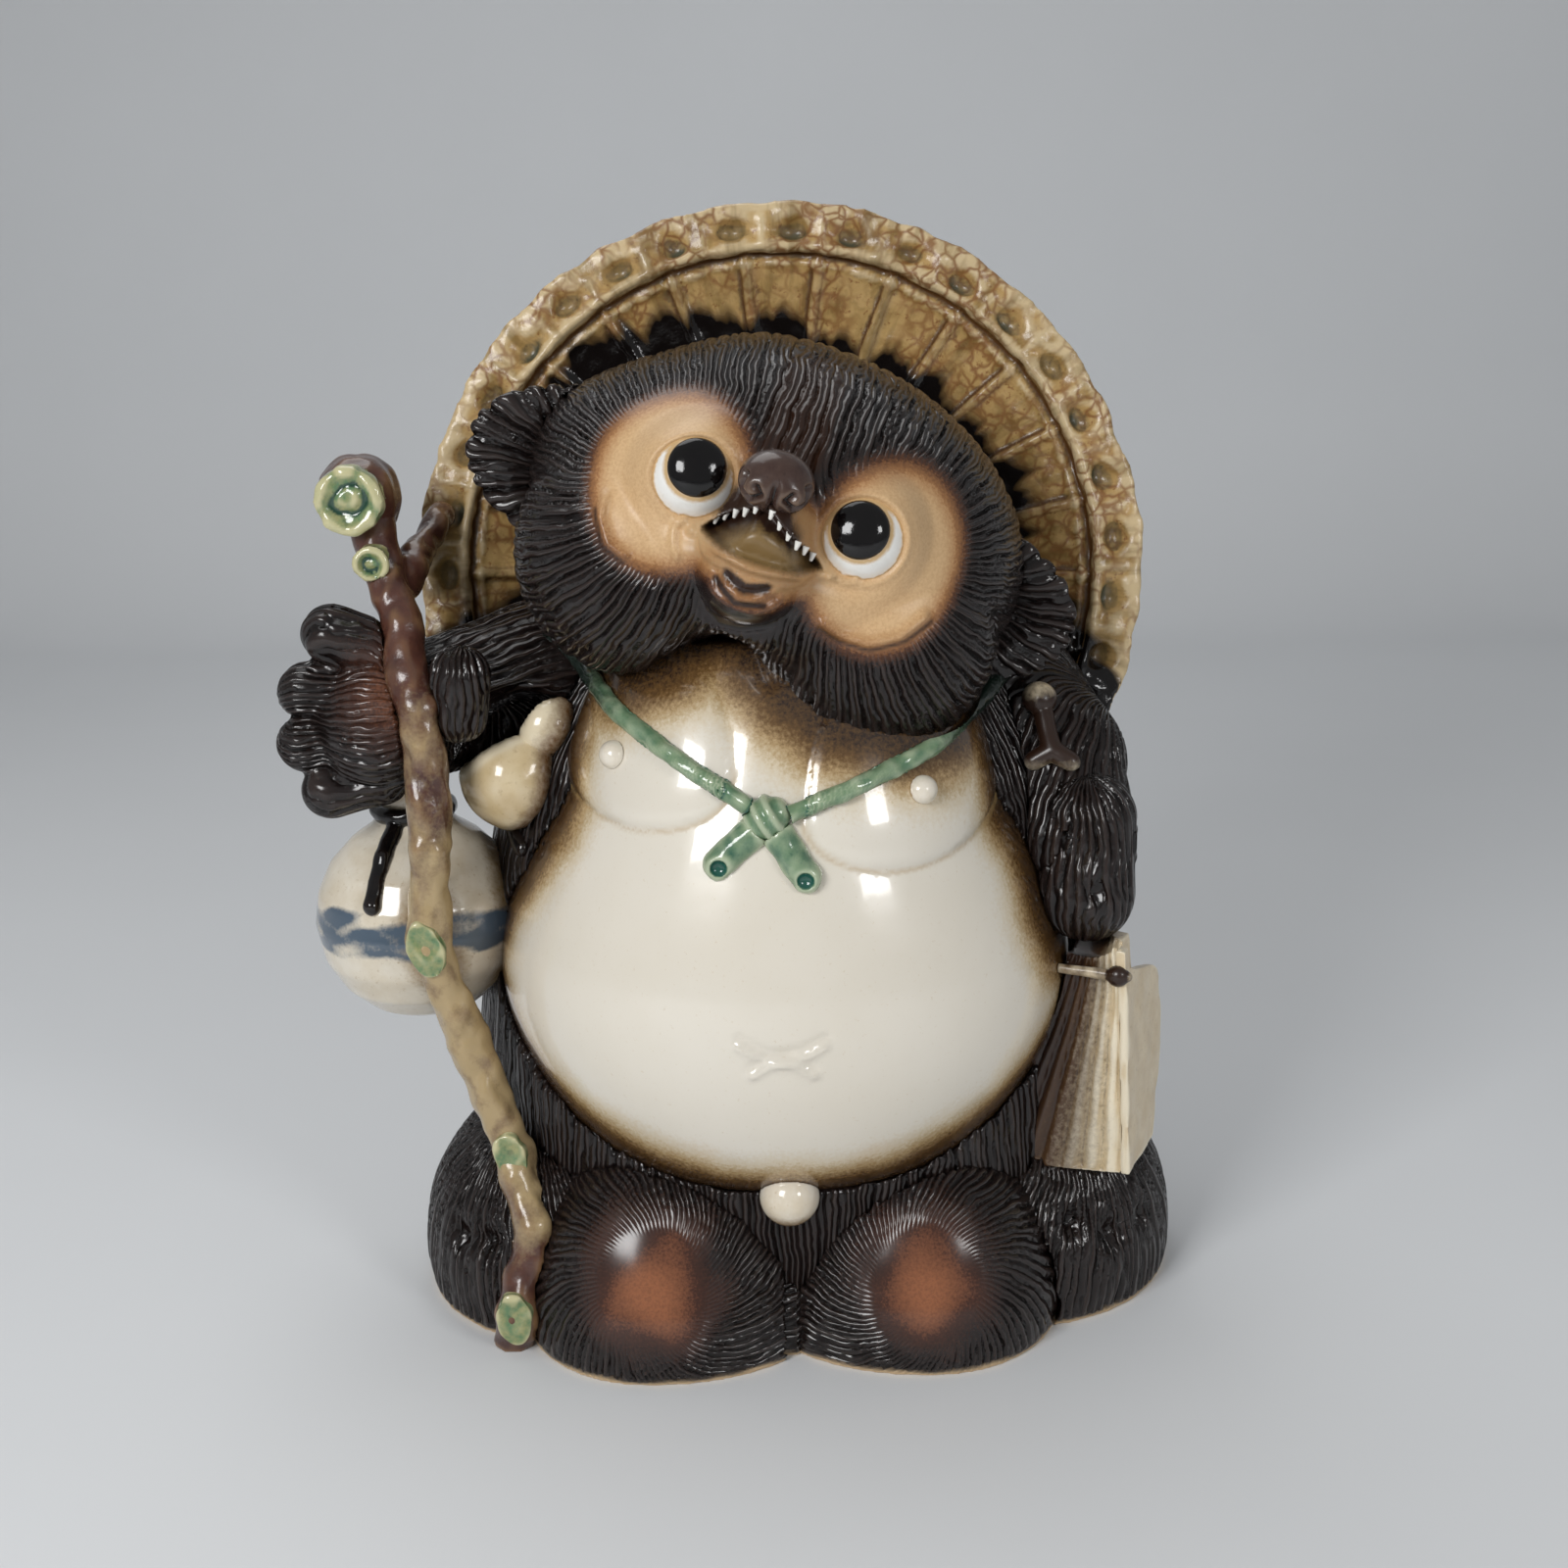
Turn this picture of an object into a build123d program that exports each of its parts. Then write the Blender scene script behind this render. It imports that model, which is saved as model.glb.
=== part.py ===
from build123d import *
from math import acos, asin, cos, degrees, radians, sin, sqrt
import os

# A free-standing figure of a raccoon dog in glazed stoneware. Lengths are in millimetres.
# +Z is up and the figure faces -Y. Left and right are the figure's own, so its right is at -X.
# The origin is the middle of the foot ring, on the surface that the figure stands on.
# The clay pieces are luted together before firing, so each one is cut to seat on its neighbours.

# Clay wall of the hollow trunk and head
WALL = 5.5

# Trunk: level, half width and half depth of its oval sections, from the foot ring to the neck
BODY_SECTIONS = (
    (0, 98, 74),
    (45, 98, 76),
    (100, 94, 74),
    (150, 86, 67),
    (185, 70, 54),
    (205, 46, 40),
)
BODY_SET_BACK = 3

# Belly: level, half width and reach in front of the origin
BELLY_SECTIONS = (
    (44, 46, 58),
    (60, 70, 80),
    (85, 82, 91),
    (110, 85, 93),
    (135, 77, 88),
    (160, 65, 80),
    (185, 54, 70),
    (205, 44, 58),
)
BELLY_SET_FORWARD = 15

# Head: an oval skull with two round cheeks, rolled to the figure's left
HEAD_ROLL = 19.5
HEAD_RISE = 27
HEAD_SET_FORWARD = 22
HEAD_HALF_WIDTH = 71
HEAD_HALF_DEPTH = 60
HEAD_HALF_HEIGHT = 51
CHEEK_RADIUS = 35
CHEEK_SPREAD = 33
CHEEK_FORWARD = 20
CHEEK_DROP = 16

# Oval sections of the skull on either side of its middle, and the angle of the last one
SKULL_STEPS = 4
SKULL_END = 82

# Ears: round cups at the sides of the head
EAR_RADIUS = 21
EAR_THICKNESS = 12
EAR_ROUND = 4
EAR_CUP_RADIUS = 15
EAR_CUP_DEPTH = 6
EAR_OVERLAP = 11
EAR_SET_BACK = 2
EAR_DROP = 3

# Eyes, placed across and up the face from the middle of the head
RIGHT_EYE_AT = (-25.5, 12.2)
LEFT_EYE_AT = (19.9, 11.3)
EYE_RADIUS = 10.3
EYE_BULGE = 5.5
PUPIL_RADIUS = 7.6
PUPIL_BALL_RADIUS = 8.6
GAZE_UP = 8
GAZE_ASIDE = 4

# Muzzle: a blunt snout parted by the mouth, placed from the middle of the head
MUZZLE_AT = (-4, 3)
MUZZLE_ROLL = 15
SNOUT_ROOT = 6
SNOUT_FORWARD = 6
SNOUT_ROOT_RADIUS = 16
SNOUT_TIP_RADIUS = 13
MOUTH_DEPTH = 6
MOUTH_DROP = 4
PALATE_RISE = 25
JAW_DROP = 8
TONGUE_FORWARD = 12
TONGUE_HALF_WIDTH = 8
TONGUE_HALF_LENGTH = 7
TONGUE_THICKNESS = 2.5
TOOTH_COUNT = 8
TOOTH_PITCH = 2.8
TOOTH_ROW_DEPTH = 14
TOOTH_ROW_HALF_WIDTH = 13.5
TOOTH_RADIUS = 1.2
TOOTH_TIP_RADIUS = 0.4
TOOTH_LENGTH = 3
NOSE_RADIUS = 8.5
NOSE_FORWARD = 8
NOSE_RISE = 15
NOSTRIL_RADIUS = 2.4
NOSTRIL_SPREAD = 4.5

# Arms: shoulder, elbow and wrist, with the radius at each
RIGHT_SHOULDER = (-54, 4, 190)
RIGHT_WRIST = (-98, -24, 181)
RIGHT_ARM_RADII = (23, 20)
LEFT_SHOULDER = (60, 8, 184)
LEFT_ELBOW = (80, -14, 160)
LEFT_WRIST = (85, -32, 142)
LEFT_ARM_RADII = (24, 21)
LEFT_FOREARM_RADII = (19, 17)

# Paws
PALM_AT = (-113, -30, 179)
PALM_RADIUS = 21
FINGER_RADIUS = 8.5
FINGERS = (
    ((-112, -34, 200), (-125, -36, 205)),
    ((-118, -34, 187), (-133, -36, 189)),
    ((-118, -34, 175), (-134, -36, 174)),
    ((-114, -34, 163), (-128, -36, 160)),
)
THUMB = ((-90, -43, 184), (-88, -43, 194))
THUMB_RADIUS = 9
LEFT_PAW = ((87, -35, 148), (86, -39, 128))
LEFT_PAW_RADIUS = 14.5

# Bags, feet, knob and tail
BAG_RADIUS = 41
RIGHT_BAG_AT = (-38, -50, 9)
LEFT_BAG_AT = (40, -46, 9)
BAG_SEAM = 1
FOOT_RADIUS = 53
RIGHT_FOOT_AT = (-60, -18, 12)
LEFT_FOOT_AT = (66, -10, 12)
KNOB_LEVEL = 50
KNOB_RADIUS = 8.5
TAIL_AT = (6, 66)
TAIL_HEIGHT = 78
TAIL_RADIUS = 26

# Straw hat: worn behind the head, its hollow side to the front
HAT_RADIUS = 108
HAT_SET_BACK = 8
HAT_LEVEL = 214
HAT_LEAN = 10
HAT_BRIM = 15
HAT_EDGE = 7
HAT_WALL = 9
HAT_PEAK = 4
HAT_STEP = 4
HAT_DISH_DEPTH = 27
HAT_CROWN_RADIUS = 26

# Ribs and scallops of the hat, over the turn of it that shows above the shoulders
SHOWN_FROM = -16
SHOWN_TURN = 196
RIB_COUNT = 15
RIB_RADIUS = 1.7
RIB_INNER_RADIUS = 56
SCALLOP_COUNT = 20
SCALLOP_RADIUS = 5.5
SCALLOP_DEPTH = 2.2

# Staff: points up its crooked length, and a branch that reaches the hat
STAFF_RADIUS = 6
STAFF_KNOT_RADIUS = 6.5
STAFF_POINTS = (
    (-80, -66, 0),
    (-78.5, -68, 11),
    (-73, -62, 35),
    (-80, -52, 55),
    (-91, -50, 89),
    (-100, -52, 119),
    (-97.5, -52, 148),
    (-99.5, -47, 186),
    (-108, -30, 213),
    (-119, -12, 240),
)
BURL_RADIUS = 11
BURL_FACE = (-119, -16, 241)
BURL_FACE_RADIUS = 10
BRANCH_TIP = (-101, 9, 231)
BRANCH_RADIUS = 4.5

# Sawn stubs on the staff: across, up and radius
STUBS_AT = ((-119, 241, 7.5), (-113, 224, 5), (-100, 119, 5.5), (-79.5, 55, 5), (-78.5, 12, 5.5))
STUB_LENGTH = 3

# Flask and the cord at its neck
FLASK_AT = (-109, -18, 116)
FLASK_RADIUS = 31
FLASK_FOOT_DROP = 29
FLASK_NECK_RADIUS = 10
FLASK_NECK_TOP = 42
FLASK_CORD_RADIUS = 2.8
FLASK_CORD_RISE = 33
FLASK_TAIL_SPREAD = 8
FLASK_TAIL_STEPS = ((0.4, 30.5), (0.7, 24), (1, 12))

# Double gourd and its strap, across and up the chest
GOURD_AT = (-77, 161)
GOURD_OUT = 3
GOURD_RADIUS = 13.5
GOURD_TOP_RADIUS = 8.5
GOURD_TOP_SHIFT = (10, 0, 15)
GOURD_TIP_RADIUS = 2.6
STRAP_TOP = (-82, 150)
STRAP_TIP = (-75, 141)
STRAP_RADIUS = 2.8

# Hanging account book: its front outer edge, turned a little to the figure's left
LEDGER_EDGE_TOP = (94, -52, 124)
LEDGER_EDGE_FOOT = (97, -54, 46)
LEDGER_TURN = 24
LEDGER_TOP_WIDTH = 17
LEDGER_FOOT_WIDTH = 36
LEDGER_TOP_DEPTH = 34
LEDGER_FOOT_DEPTH = 40
COVER_THICKNESS = 2.5
STRING_RADIUS = 1.6
STRING_DROP = 17
STRING_KNOT_RADIUS = 3.2

# Bow of the cord that the book hangs by, across and up the left sleeve
BOW_LOOP_AT = (74, 181)
BOW_LOOP_RADIUS = 5
BOW_AT = (77, 168)
BOW_CORD_RADIUS = 3
BOW_SPREAD = 5
BOW_DROP = 3

# Chin tie and chest studs, across and up the chest
TIE_RADIUS = 3.2
TIE_BURIED = 1.2
TIE_BEND = 18
RIGHT_TIE_POINTS = ((-66, 203), (-56, 195), (-42, 185), (-25, 176), (-6, 165))
LEFT_TIE_POINTS = ((66, 190), (55, 183), (39, 176), (20, 170), (2, 164))
KNOT_AT = (-3, 163)
KNOT_RADIUS = 6.2
TIE_END_RADIUS = 4.4
TIE_END_DIMPLE = 2.6
RIGHT_TIE_END_AT = (-16, 151)
LEFT_TIE_END_AT = (7, 148)
RIGHT_STUD_AT = (-42, 174)
LEFT_STUD_AT = (36, 166)
STUD_RADIUS = 4

# How far outside the figure a measuring line starts
FAR = 600

os.makedirs("parts", exist_ok=True)


def ellipsoid(centre, radii, plane):
    """Return an oval ball with its radii along the plane's axes, lofted up its Z axis."""
    middle = plane.from_local_coords(Vector(*centre))
    with BuildPart() as ball:
        for step in range(-SKULL_STEPS, SKULL_STEPS + 1):
            angle = radians(SKULL_END * step / SKULL_STEPS)
            with BuildSketch(Plane(middle, plane.x_dir, plane.z_dir).offset(radii[2] * sin(angle))):
                Ellipse(radii[1] * cos(angle), radii[0] * cos(angle), rotation=90)
        loft()
    return ball.part


def limb(start, end, start_radius, end_radius):
    """Return a tapered rod with round ends, turned about the line between the two end centres."""
    start = Vector(*start)
    along = Vector(*end) - start
    length = along.length
    tilt = asin((start_radius - end_radius) / length)
    rim = [
        (start_radius * cos(tilt), start_radius * sin(tilt)),
        (end_radius * cos(tilt), length + end_radius * sin(tilt)),
    ]
    with BuildPart() as rod:
        with BuildSketch(Plane.XZ):
            with BuildLine():
                CenterArc((0, 0), start_radius, -90, 90 + degrees(tilt))
                Line(*rim)
                CenterArc((0, length), end_radius, degrees(tilt), 90 - degrees(tilt))
                Line((0, length + end_radius), (0, -start_radius))
            make_face()
        revolve(axis=Axis.Z)
    return Plane(start, z_dir=along).location * rod.part


def first_hit(solids, start, direction):
    """Return the first point where a line from start meets any of the solids."""
    line = Axis(start, direction)
    faces = [face for solid in solids for face in solid.faces()]
    hits = [point for face in faces for point, normal in face.find_intersection_points(line)]
    return min(hits, key=lambda point: (point - Vector(*start)).dot(Vector(*direction)))


def on_front(solids, across, up, out=0, plane=Plane.XY):
    """Return the point on the front of the solids at a place across and up, moved out from it."""
    start = plane.from_local_coords(Vector(across, -FAR, up))
    hit = first_hit(solids, tuple(start), (0, 1, 0))
    return Vector(hit.X, hit.Y - out, hit.Z)


def rolled_plane(origin, roll):
    """Return a plane at origin whose Z axis is up and whose X axis dips to +X by the roll in degrees."""
    turn = radians(roll)
    return Plane(origin, x_dir=(cos(turn), 0, -sin(turn)), z_dir=(sin(turn), 0, cos(turn)))


def facing(origin, roll=0):
    """Return a plane at origin whose Z axis points to the front and whose X axis dips by the roll."""
    turn = radians(roll)
    return Plane(origin, x_dir=(cos(turn), 0, -sin(turn)), z_dir=(0, -1, 0))


def seat(*neighbours):
    """Cut the neighbours away from the piece that is being made, so that it seats on them."""
    for neighbour in neighbours:
        add(neighbour, mode=Mode.SUBTRACT)


def write(builder, label):
    """Label a finished piece, write it to its own file and return its solid."""
    builder.part.label = label
    export_step(builder.part, f"parts/{label}.step")
    return builder.part


# Trunk and belly, each as a filled form and as its hollow
neck_level = BODY_SECTIONS[-1][0]


def body_form(inset):
    """Return the trunk drawn in by the inset, with the foot left open."""
    with BuildPart() as form:
        for level, half_width, half_depth in BODY_SECTIONS:
            roof = inset if level == neck_level else 0
            with BuildSketch(Plane((0, BODY_SET_BACK, level - roof))):
                Ellipse(half_depth - inset, half_width - inset, rotation=90)
        loft()
    return form.part


def belly_form(inset):
    """Return the belly drawn in by the inset."""
    with BuildPart() as form:
        for level, half_width, reach in BELLY_SECTIONS:
            roof = inset if level == neck_level else 0
            with BuildSketch(Plane((0, -BELLY_SET_FORWARD, level - roof))):
                Ellipse(reach - BELLY_SET_FORWARD - inset, half_width - inset, rotation=90)
        loft()
    return form.part


body_solid = body_form(0)
body_hollow = body_form(WALL)
belly_solid = belly_form(0)

with BuildPart() as trunk_form:
    add(body_solid)
    add(belly_solid)
trunk = trunk_form.part

with BuildPart() as body_shell:
    add(body_solid)
    seat(belly_solid, body_hollow)
write(body_shell, "body_shell")

with BuildPart() as belly_shell:
    add(belly_solid)
    seat(belly_form(WALL), body_hollow)
write(belly_shell, "belly_shell")

# Head: filled, then hollowed and cut to sit on the trunk
head_plane = rolled_plane((0, -HEAD_SET_FORWARD, neck_level + HEAD_RISE), HEAD_ROLL)
skull_plane = Plane(head_plane.origin, x_dir=head_plane.z_dir, z_dir=-head_plane.x_dir)


def head_form(inset):
    """Return the skull and cheeks, drawn in by the inset all round."""
    skull_radii = (HEAD_HALF_HEIGHT - inset, HEAD_HALF_DEPTH - inset, HEAD_HALF_WIDTH - inset)
    with BuildPart() as form:
        add(ellipsoid((0, 0, 0), skull_radii, skull_plane))
        with Locations(head_plane):
            with Locations(*[(side * CHEEK_SPREAD, -CHEEK_FORWARD, -CHEEK_DROP) for side in (-1, 1)]):
                Sphere(CHEEK_RADIUS - inset)
    return form.part


head = head_form(0)

with BuildPart() as head_shell:
    add(head)
    seat(head_form(WALL), trunk)
write(head_shell, "head_shell")


# Arms
with BuildPart() as right_arm_form:
    add(limb(RIGHT_SHOULDER, RIGHT_WRIST, *RIGHT_ARM_RADII))
    seat(trunk, head)
right_arm = write(right_arm_form, "right_arm")

with BuildPart() as left_arm_form:
    add(limb(LEFT_SHOULDER, LEFT_ELBOW, *LEFT_ARM_RADII))
    add(limb(LEFT_ELBOW, LEFT_WRIST, *LEFT_FOREARM_RADII))
    seat(trunk, head)
left_arm = write(left_arm_form, "left_arm")

# Ears: round cups, hollow to the front
cup_radius = (EAR_CUP_RADIUS**2 + EAR_CUP_DEPTH**2) / (2 * EAR_CUP_DEPTH)

ears = {}
for side, arm, label in ((-1, right_arm, "right_ear"), (1, left_arm, "left_ear")):
    ear_at = Vector(side * (HEAD_HALF_WIDTH - EAR_OVERLAP), EAR_SET_BACK, -EAR_DROP)
    with BuildPart(facing(head_plane.from_local_coords(ear_at))) as ear:
        Cylinder(EAR_RADIUS, EAR_THICKNESS)
        fillet(ear.edges().filter_by(GeomType.CIRCLE), EAR_ROUND)
        with Locations((0, 0, EAR_THICKNESS / 2 + cup_radius - EAR_CUP_DEPTH)):
            Sphere(cup_radius, mode=Mode.SUBTRACT)
    with BuildPart() as seated_ear:
        add(ear.part)
        seat(head, trunk, arm)
    ears[label] = write(seated_ear, label)

# Muzzle: a short snout parted by the mouth into two jaws
muzzle_at = on_front([head], *MUZZLE_AT, plane=head_plane)
muzzle_plane = rolled_plane(muzzle_at, MUZZLE_ROLL)
mouth_hinge = muzzle_plane.from_local_coords(Vector(0, MOUTH_DEPTH, -MOUTH_DROP))
palate_up = muzzle_plane.z_dir * cos(radians(PALATE_RISE)) + Vector(0, sin(radians(PALATE_RISE)), 0)
floor_up = muzzle_plane.z_dir * cos(radians(JAW_DROP)) - Vector(0, sin(radians(JAW_DROP)), 0)
palate = Plane(mouth_hinge, muzzle_plane.x_dir, palate_up)
mouth_floor = Plane(mouth_hinge, muzzle_plane.x_dir, floor_up)

snout_root = muzzle_plane.from_local_coords(Vector(0, SNOUT_ROOT, 0))
snout_tip = muzzle_plane.from_local_coords(Vector(0, -SNOUT_FORWARD, 0))
snout = limb(snout_root, snout_tip, SNOUT_ROOT_RADIUS, SNOUT_TIP_RADIUS)

with BuildPart() as upper_jaw_form:
    add(snout)
    split(bisect_by=palate, keep=Keep.TOP)
    seat(head)
upper_jaw = write(upper_jaw_form, "upper_jaw")

with BuildPart() as lower_jaw_form:
    add(snout)
    split(bisect_by=mouth_floor, keep=Keep.BOTTOM)
    seat(head)
write(lower_jaw_form, "lower_jaw")

with BuildPart() as tongue:
    with BuildSketch(mouth_floor.shift_origin(mouth_floor.from_local_coords(Vector(0, -TONGUE_FORWARD, 0)))):
        Ellipse(TONGUE_HALF_WIDTH, TONGUE_HALF_LENGTH)
    extrude(amount=TONGUE_THICKNESS)
    seat(head)
write(tongue, "tongue")

with BuildPart() as upper_teeth:
    for number in range(TOOTH_COUNT):
        across = (number - (TOOTH_COUNT - 1) / 2) * TOOTH_PITCH
        row = TOOTH_ROW_DEPTH * sqrt(1 - (across / TOOTH_ROW_HALF_WIDTH) ** 2)
        root = palate.from_local_coords(Vector(across, -MOUTH_DEPTH - row, 0))
        with Locations(Plane(root, muzzle_plane.x_dir, -palate_up)):
            Cone(TOOTH_RADIUS, TOOTH_TIP_RADIUS, TOOTH_LENGTH, align=(Align.CENTER, Align.CENTER, Align.MIN))
write(upper_teeth, "upper_teeth")

nose_at = muzzle_plane.from_local_coords(Vector(0, -NOSE_FORWARD, NOSE_RISE))
with BuildPart() as nose:
    with Locations(facing(nose_at, MUZZLE_ROLL)):
        Sphere(NOSE_RADIUS)
        with Locations((-NOSTRIL_SPREAD, 0, NOSE_RADIUS), (NOSTRIL_SPREAD, 0, NOSE_RADIUS)):
            Sphere(NOSTRIL_RADIUS, mode=Mode.SUBTRACT)
    seat(upper_jaw, head)
write(nose, "nose")

# Eyes: a bulging white with a raised black pupil on it
eye_ball_radius = (EYE_RADIUS**2 + EYE_BULGE**2) / (2 * EYE_BULGE)
pupil_out = sqrt(eye_ball_radius**2 - PUPIL_RADIUS**2) - sqrt(PUPIL_BALL_RADIUS**2 - PUPIL_RADIUS**2)

for place, side in ((RIGHT_EYE_AT, "right"), (LEFT_EYE_AT, "left")):
    eye_at = on_front([head], *place, out=EYE_BULGE - eye_ball_radius, plane=head_plane)
    gaze = Vector(sin(radians(GAZE_ASIDE)), -1, sin(radians(GAZE_UP))).normalized()
    with BuildPart(Plane(eye_at)) as eyeball:
        Sphere(eye_ball_radius)
        white = eyeball.part
    with BuildPart() as seated_eyeball:
        add(white)
        seat(head, upper_jaw)
    write(seated_eyeball, f"{side}_eyeball")
    with BuildPart(Plane(eye_at + gaze * pupil_out)) as pupil:
        Sphere(PUPIL_BALL_RADIUS)
    with BuildPart() as seated_pupil:
        add(pupil.part)
        seat(white, head, upper_jaw)
    write(seated_pupil, f"{side}_pupil")

# Bags, feet, knob and tail, flat on the floor
bag_seam = Plane((BAG_SEAM, 0, 0), z_dir=(1, 0, 0))


def make_bag(place, keep, label):
    """Make one bag, split from the other at the seam, and return its solid."""
    with BuildPart() as bag:
        with Locations(place):
            Sphere(BAG_RADIUS)
        split(bisect_by=Plane.XY, keep=Keep.TOP)
        split(bisect_by=bag_seam, keep=keep)
        seat(trunk)
    return write(bag, label)


def make_foot(place, bag, label):
    """Make one foot beside its bag and return its solid."""
    with BuildPart() as foot:
        with Locations(place):
            Sphere(FOOT_RADIUS)
        split(bisect_by=Plane.XY, keep=Keep.TOP)
        seat(trunk, bag)
    return write(foot, label)


right_bag = make_bag(RIGHT_BAG_AT, Keep.BOTTOM, "right_bag")
left_bag = make_bag(LEFT_BAG_AT, Keep.TOP, "left_bag")
right_foot = make_foot(RIGHT_FOOT_AT, right_bag, "right_foot")
left_foot = make_foot(LEFT_FOOT_AT, left_bag, "left_foot")

with BuildPart() as bag_knob:
    with Locations(on_front([trunk], BAG_SEAM, KNOB_LEVEL)):
        Sphere(KNOB_RADIUS)
    seat(trunk, right_bag, left_bag)
write(bag_knob, "bag_knob")

with BuildPart() as tail:
    add(limb((*TAIL_AT, 0), (*TAIL_AT, TAIL_HEIGHT - TAIL_RADIUS), TAIL_RADIUS, TAIL_RADIUS))
    split(bisect_by=Plane.XY, keep=Keep.TOP)
    seat(trunk)
write(tail, "tail")

# Straw hat: a dished disc with ribs inside and a scalloped brim
lean = radians(HAT_LEAN)
hat_plane = Plane((0, HAT_SET_BACK, HAT_LEVEL), x_dir=(1, 0, 0), z_dir=(0, -cos(lean), sin(lean)))
brim_radius = HAT_RADIUS - HAT_BRIM
dish_slope = (HAT_DISH_DEPTH - HAT_STEP) / (brim_radius - HAT_CROWN_RADIUS)
rib_foot = Vector(RIB_INNER_RADIUS, 0, dish_slope * (RIB_INNER_RADIUS - HAT_CROWN_RADIUS) - HAT_DISH_DEPTH)

with BuildPart() as rib:
    with BuildSketch(Plane(rib_foot, z_dir=(1, 0, dish_slope))):
        Circle(RIB_RADIUS)
    extrude(amount=(brim_radius - RIB_INNER_RADIUS) * sqrt(1 + dish_slope**2))

with BuildPart() as hat_form:
    with BuildSketch(Plane.XZ):
        with BuildLine():
            Polyline(
                (0, -HAT_DISH_DEPTH),
                (HAT_CROWN_RADIUS, -HAT_DISH_DEPTH),
                (brim_radius, -HAT_STEP),
                (brim_radius, 0),
                (HAT_RADIUS, 0),
                (HAT_RADIUS, -HAT_EDGE),
                (HAT_CROWN_RADIUS, -HAT_DISH_DEPTH - HAT_WALL),
                (0, -HAT_DISH_DEPTH - HAT_WALL - HAT_PEAK),
                close=True,
            )
        make_face()
    revolve(axis=Axis.Z)
    with PolarLocations(0, RIB_COUNT, SHOWN_FROM, SHOWN_TURN, endpoint=True):
        add(rib.part)
    with Locations((0, 0, SCALLOP_RADIUS - SCALLOP_DEPTH)):
        with PolarLocations(brim_radius + HAT_BRIM / 2, SCALLOP_COUNT, SHOWN_FROM, SHOWN_TURN, endpoint=True):
            Sphere(SCALLOP_RADIUS, mode=Mode.SUBTRACT)

with BuildPart() as straw_hat_form:
    add(hat_plane.location * hat_form.part)
    seat(head, trunk, right_arm, left_arm)
straw_hat = write(straw_hat_form, "straw_hat")

# Staff: a crooked stick with a burl, a branch to the hat and sawn stubs
with BuildPart() as staff_form:
    for start, end in zip(STAFF_POINTS, STAFF_POINTS[1:]):
        along = Vector(*end) - Vector(*start)
        with Locations(Plane(start, z_dir=along)):
            Cylinder(STAFF_RADIUS, along.length, align=(Align.CENTER, Align.CENTER, Align.MIN))
    with Locations(*STAFF_POINTS[:-1]):
        Sphere(STAFF_KNOT_RADIUS)
    add(limb(STAFF_POINTS[-1], BURL_FACE, BURL_RADIUS, BURL_FACE_RADIUS))
    add(limb(STAFF_POINTS[-2], BRANCH_TIP, BRANCH_RADIUS, BRANCH_RADIUS))
    split(bisect_by=Plane.XY, keep=Keep.TOP)
    seat(straw_hat, right_arm, right_bag, right_foot)
staff = write(staff_form, "staff")

with BuildPart() as staff_stubs:
    for across, up, radius in STUBS_AT:
        with Locations(facing(on_front([staff], across, up))):
            Cylinder(radius, 2 * STUB_LENGTH)
    seat(staff, trunk, right_foot, right_bag)
write(staff_stubs, "staff_stubs")

# Paws
with BuildPart() as right_paw_form:
    with Locations(PALM_AT):
        Sphere(PALM_RADIUS)
    for root, tip in FINGERS:
        add(limb(root, tip, FINGER_RADIUS, FINGER_RADIUS))
    seat(staff, right_arm, trunk)
right_paw = write(right_paw_form, "right_paw")

with BuildPart() as thumb_form:
    add(limb(*THUMB, THUMB_RADIUS, THUMB_RADIUS))
    seat(staff, right_arm, trunk, right_paw)
right_thumb = write(thumb_form, "right_thumb")

with BuildPart() as left_paw_form:
    add(limb(*LEFT_PAW, LEFT_PAW_RADIUS, LEFT_PAW_RADIUS))
    seat(left_arm, trunk)
left_paw = write(left_paw_form, "left_paw")

# Flask and the cord at its neck
foot_angle = degrees(asin(-FLASK_FOOT_DROP / FLASK_RADIUS))
neck_angle = degrees(acos(FLASK_NECK_RADIUS / FLASK_RADIUS))
flask_plane = Plane(FLASK_AT)

with BuildPart() as flask_form:
    with BuildSketch(Plane(FLASK_AT, x_dir=(1, 0, 0), z_dir=(0, -1, 0))):
        with BuildLine():
            belly_arc = CenterArc((0, 0), FLASK_RADIUS, foot_angle, neck_angle - foot_angle)
            Polyline(
                belly_arc @ 1,
                (FLASK_NECK_RADIUS, FLASK_NECK_TOP),
                (0, FLASK_NECK_TOP),
                (0, -FLASK_FOOT_DROP),
                belly_arc @ 0,
            )
        make_face()
    revolve(axis=Axis(FLASK_AT, (0, 0, 1)))
    seat(trunk, staff, right_arm, right_paw)
sake_flask = write(flask_form, "sake_flask")

with BuildPart() as flask_cord:
    with BuildSketch(Plane(FLASK_AT, x_dir=(1, 0, 0), z_dir=(0, -1, 0))):
        with BuildLine():
            bead = CenterArc((FLASK_NECK_RADIUS, FLASK_CORD_RISE), FLASK_CORD_RADIUS, -90, 180)
            Line(bead @ 1, bead @ 0)
        make_face()
    revolve(axis=Axis(FLASK_AT, (0, 0, 1)))
    for aside in (-FLASK_TAIL_SPREAD, FLASK_TAIL_SPREAD):
        route = [
            on_front([sake_flask], FLASK_AT[0] + aside * share, FLASK_AT[2] + rise)
            for share, rise in FLASK_TAIL_STEPS
        ]
        for start, end in zip(route, route[1:]):
            add(limb(start, end, FLASK_CORD_RADIUS, FLASK_CORD_RADIUS))
    seat(sake_flask, staff)
write(flask_cord, "flask_cord")

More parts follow.
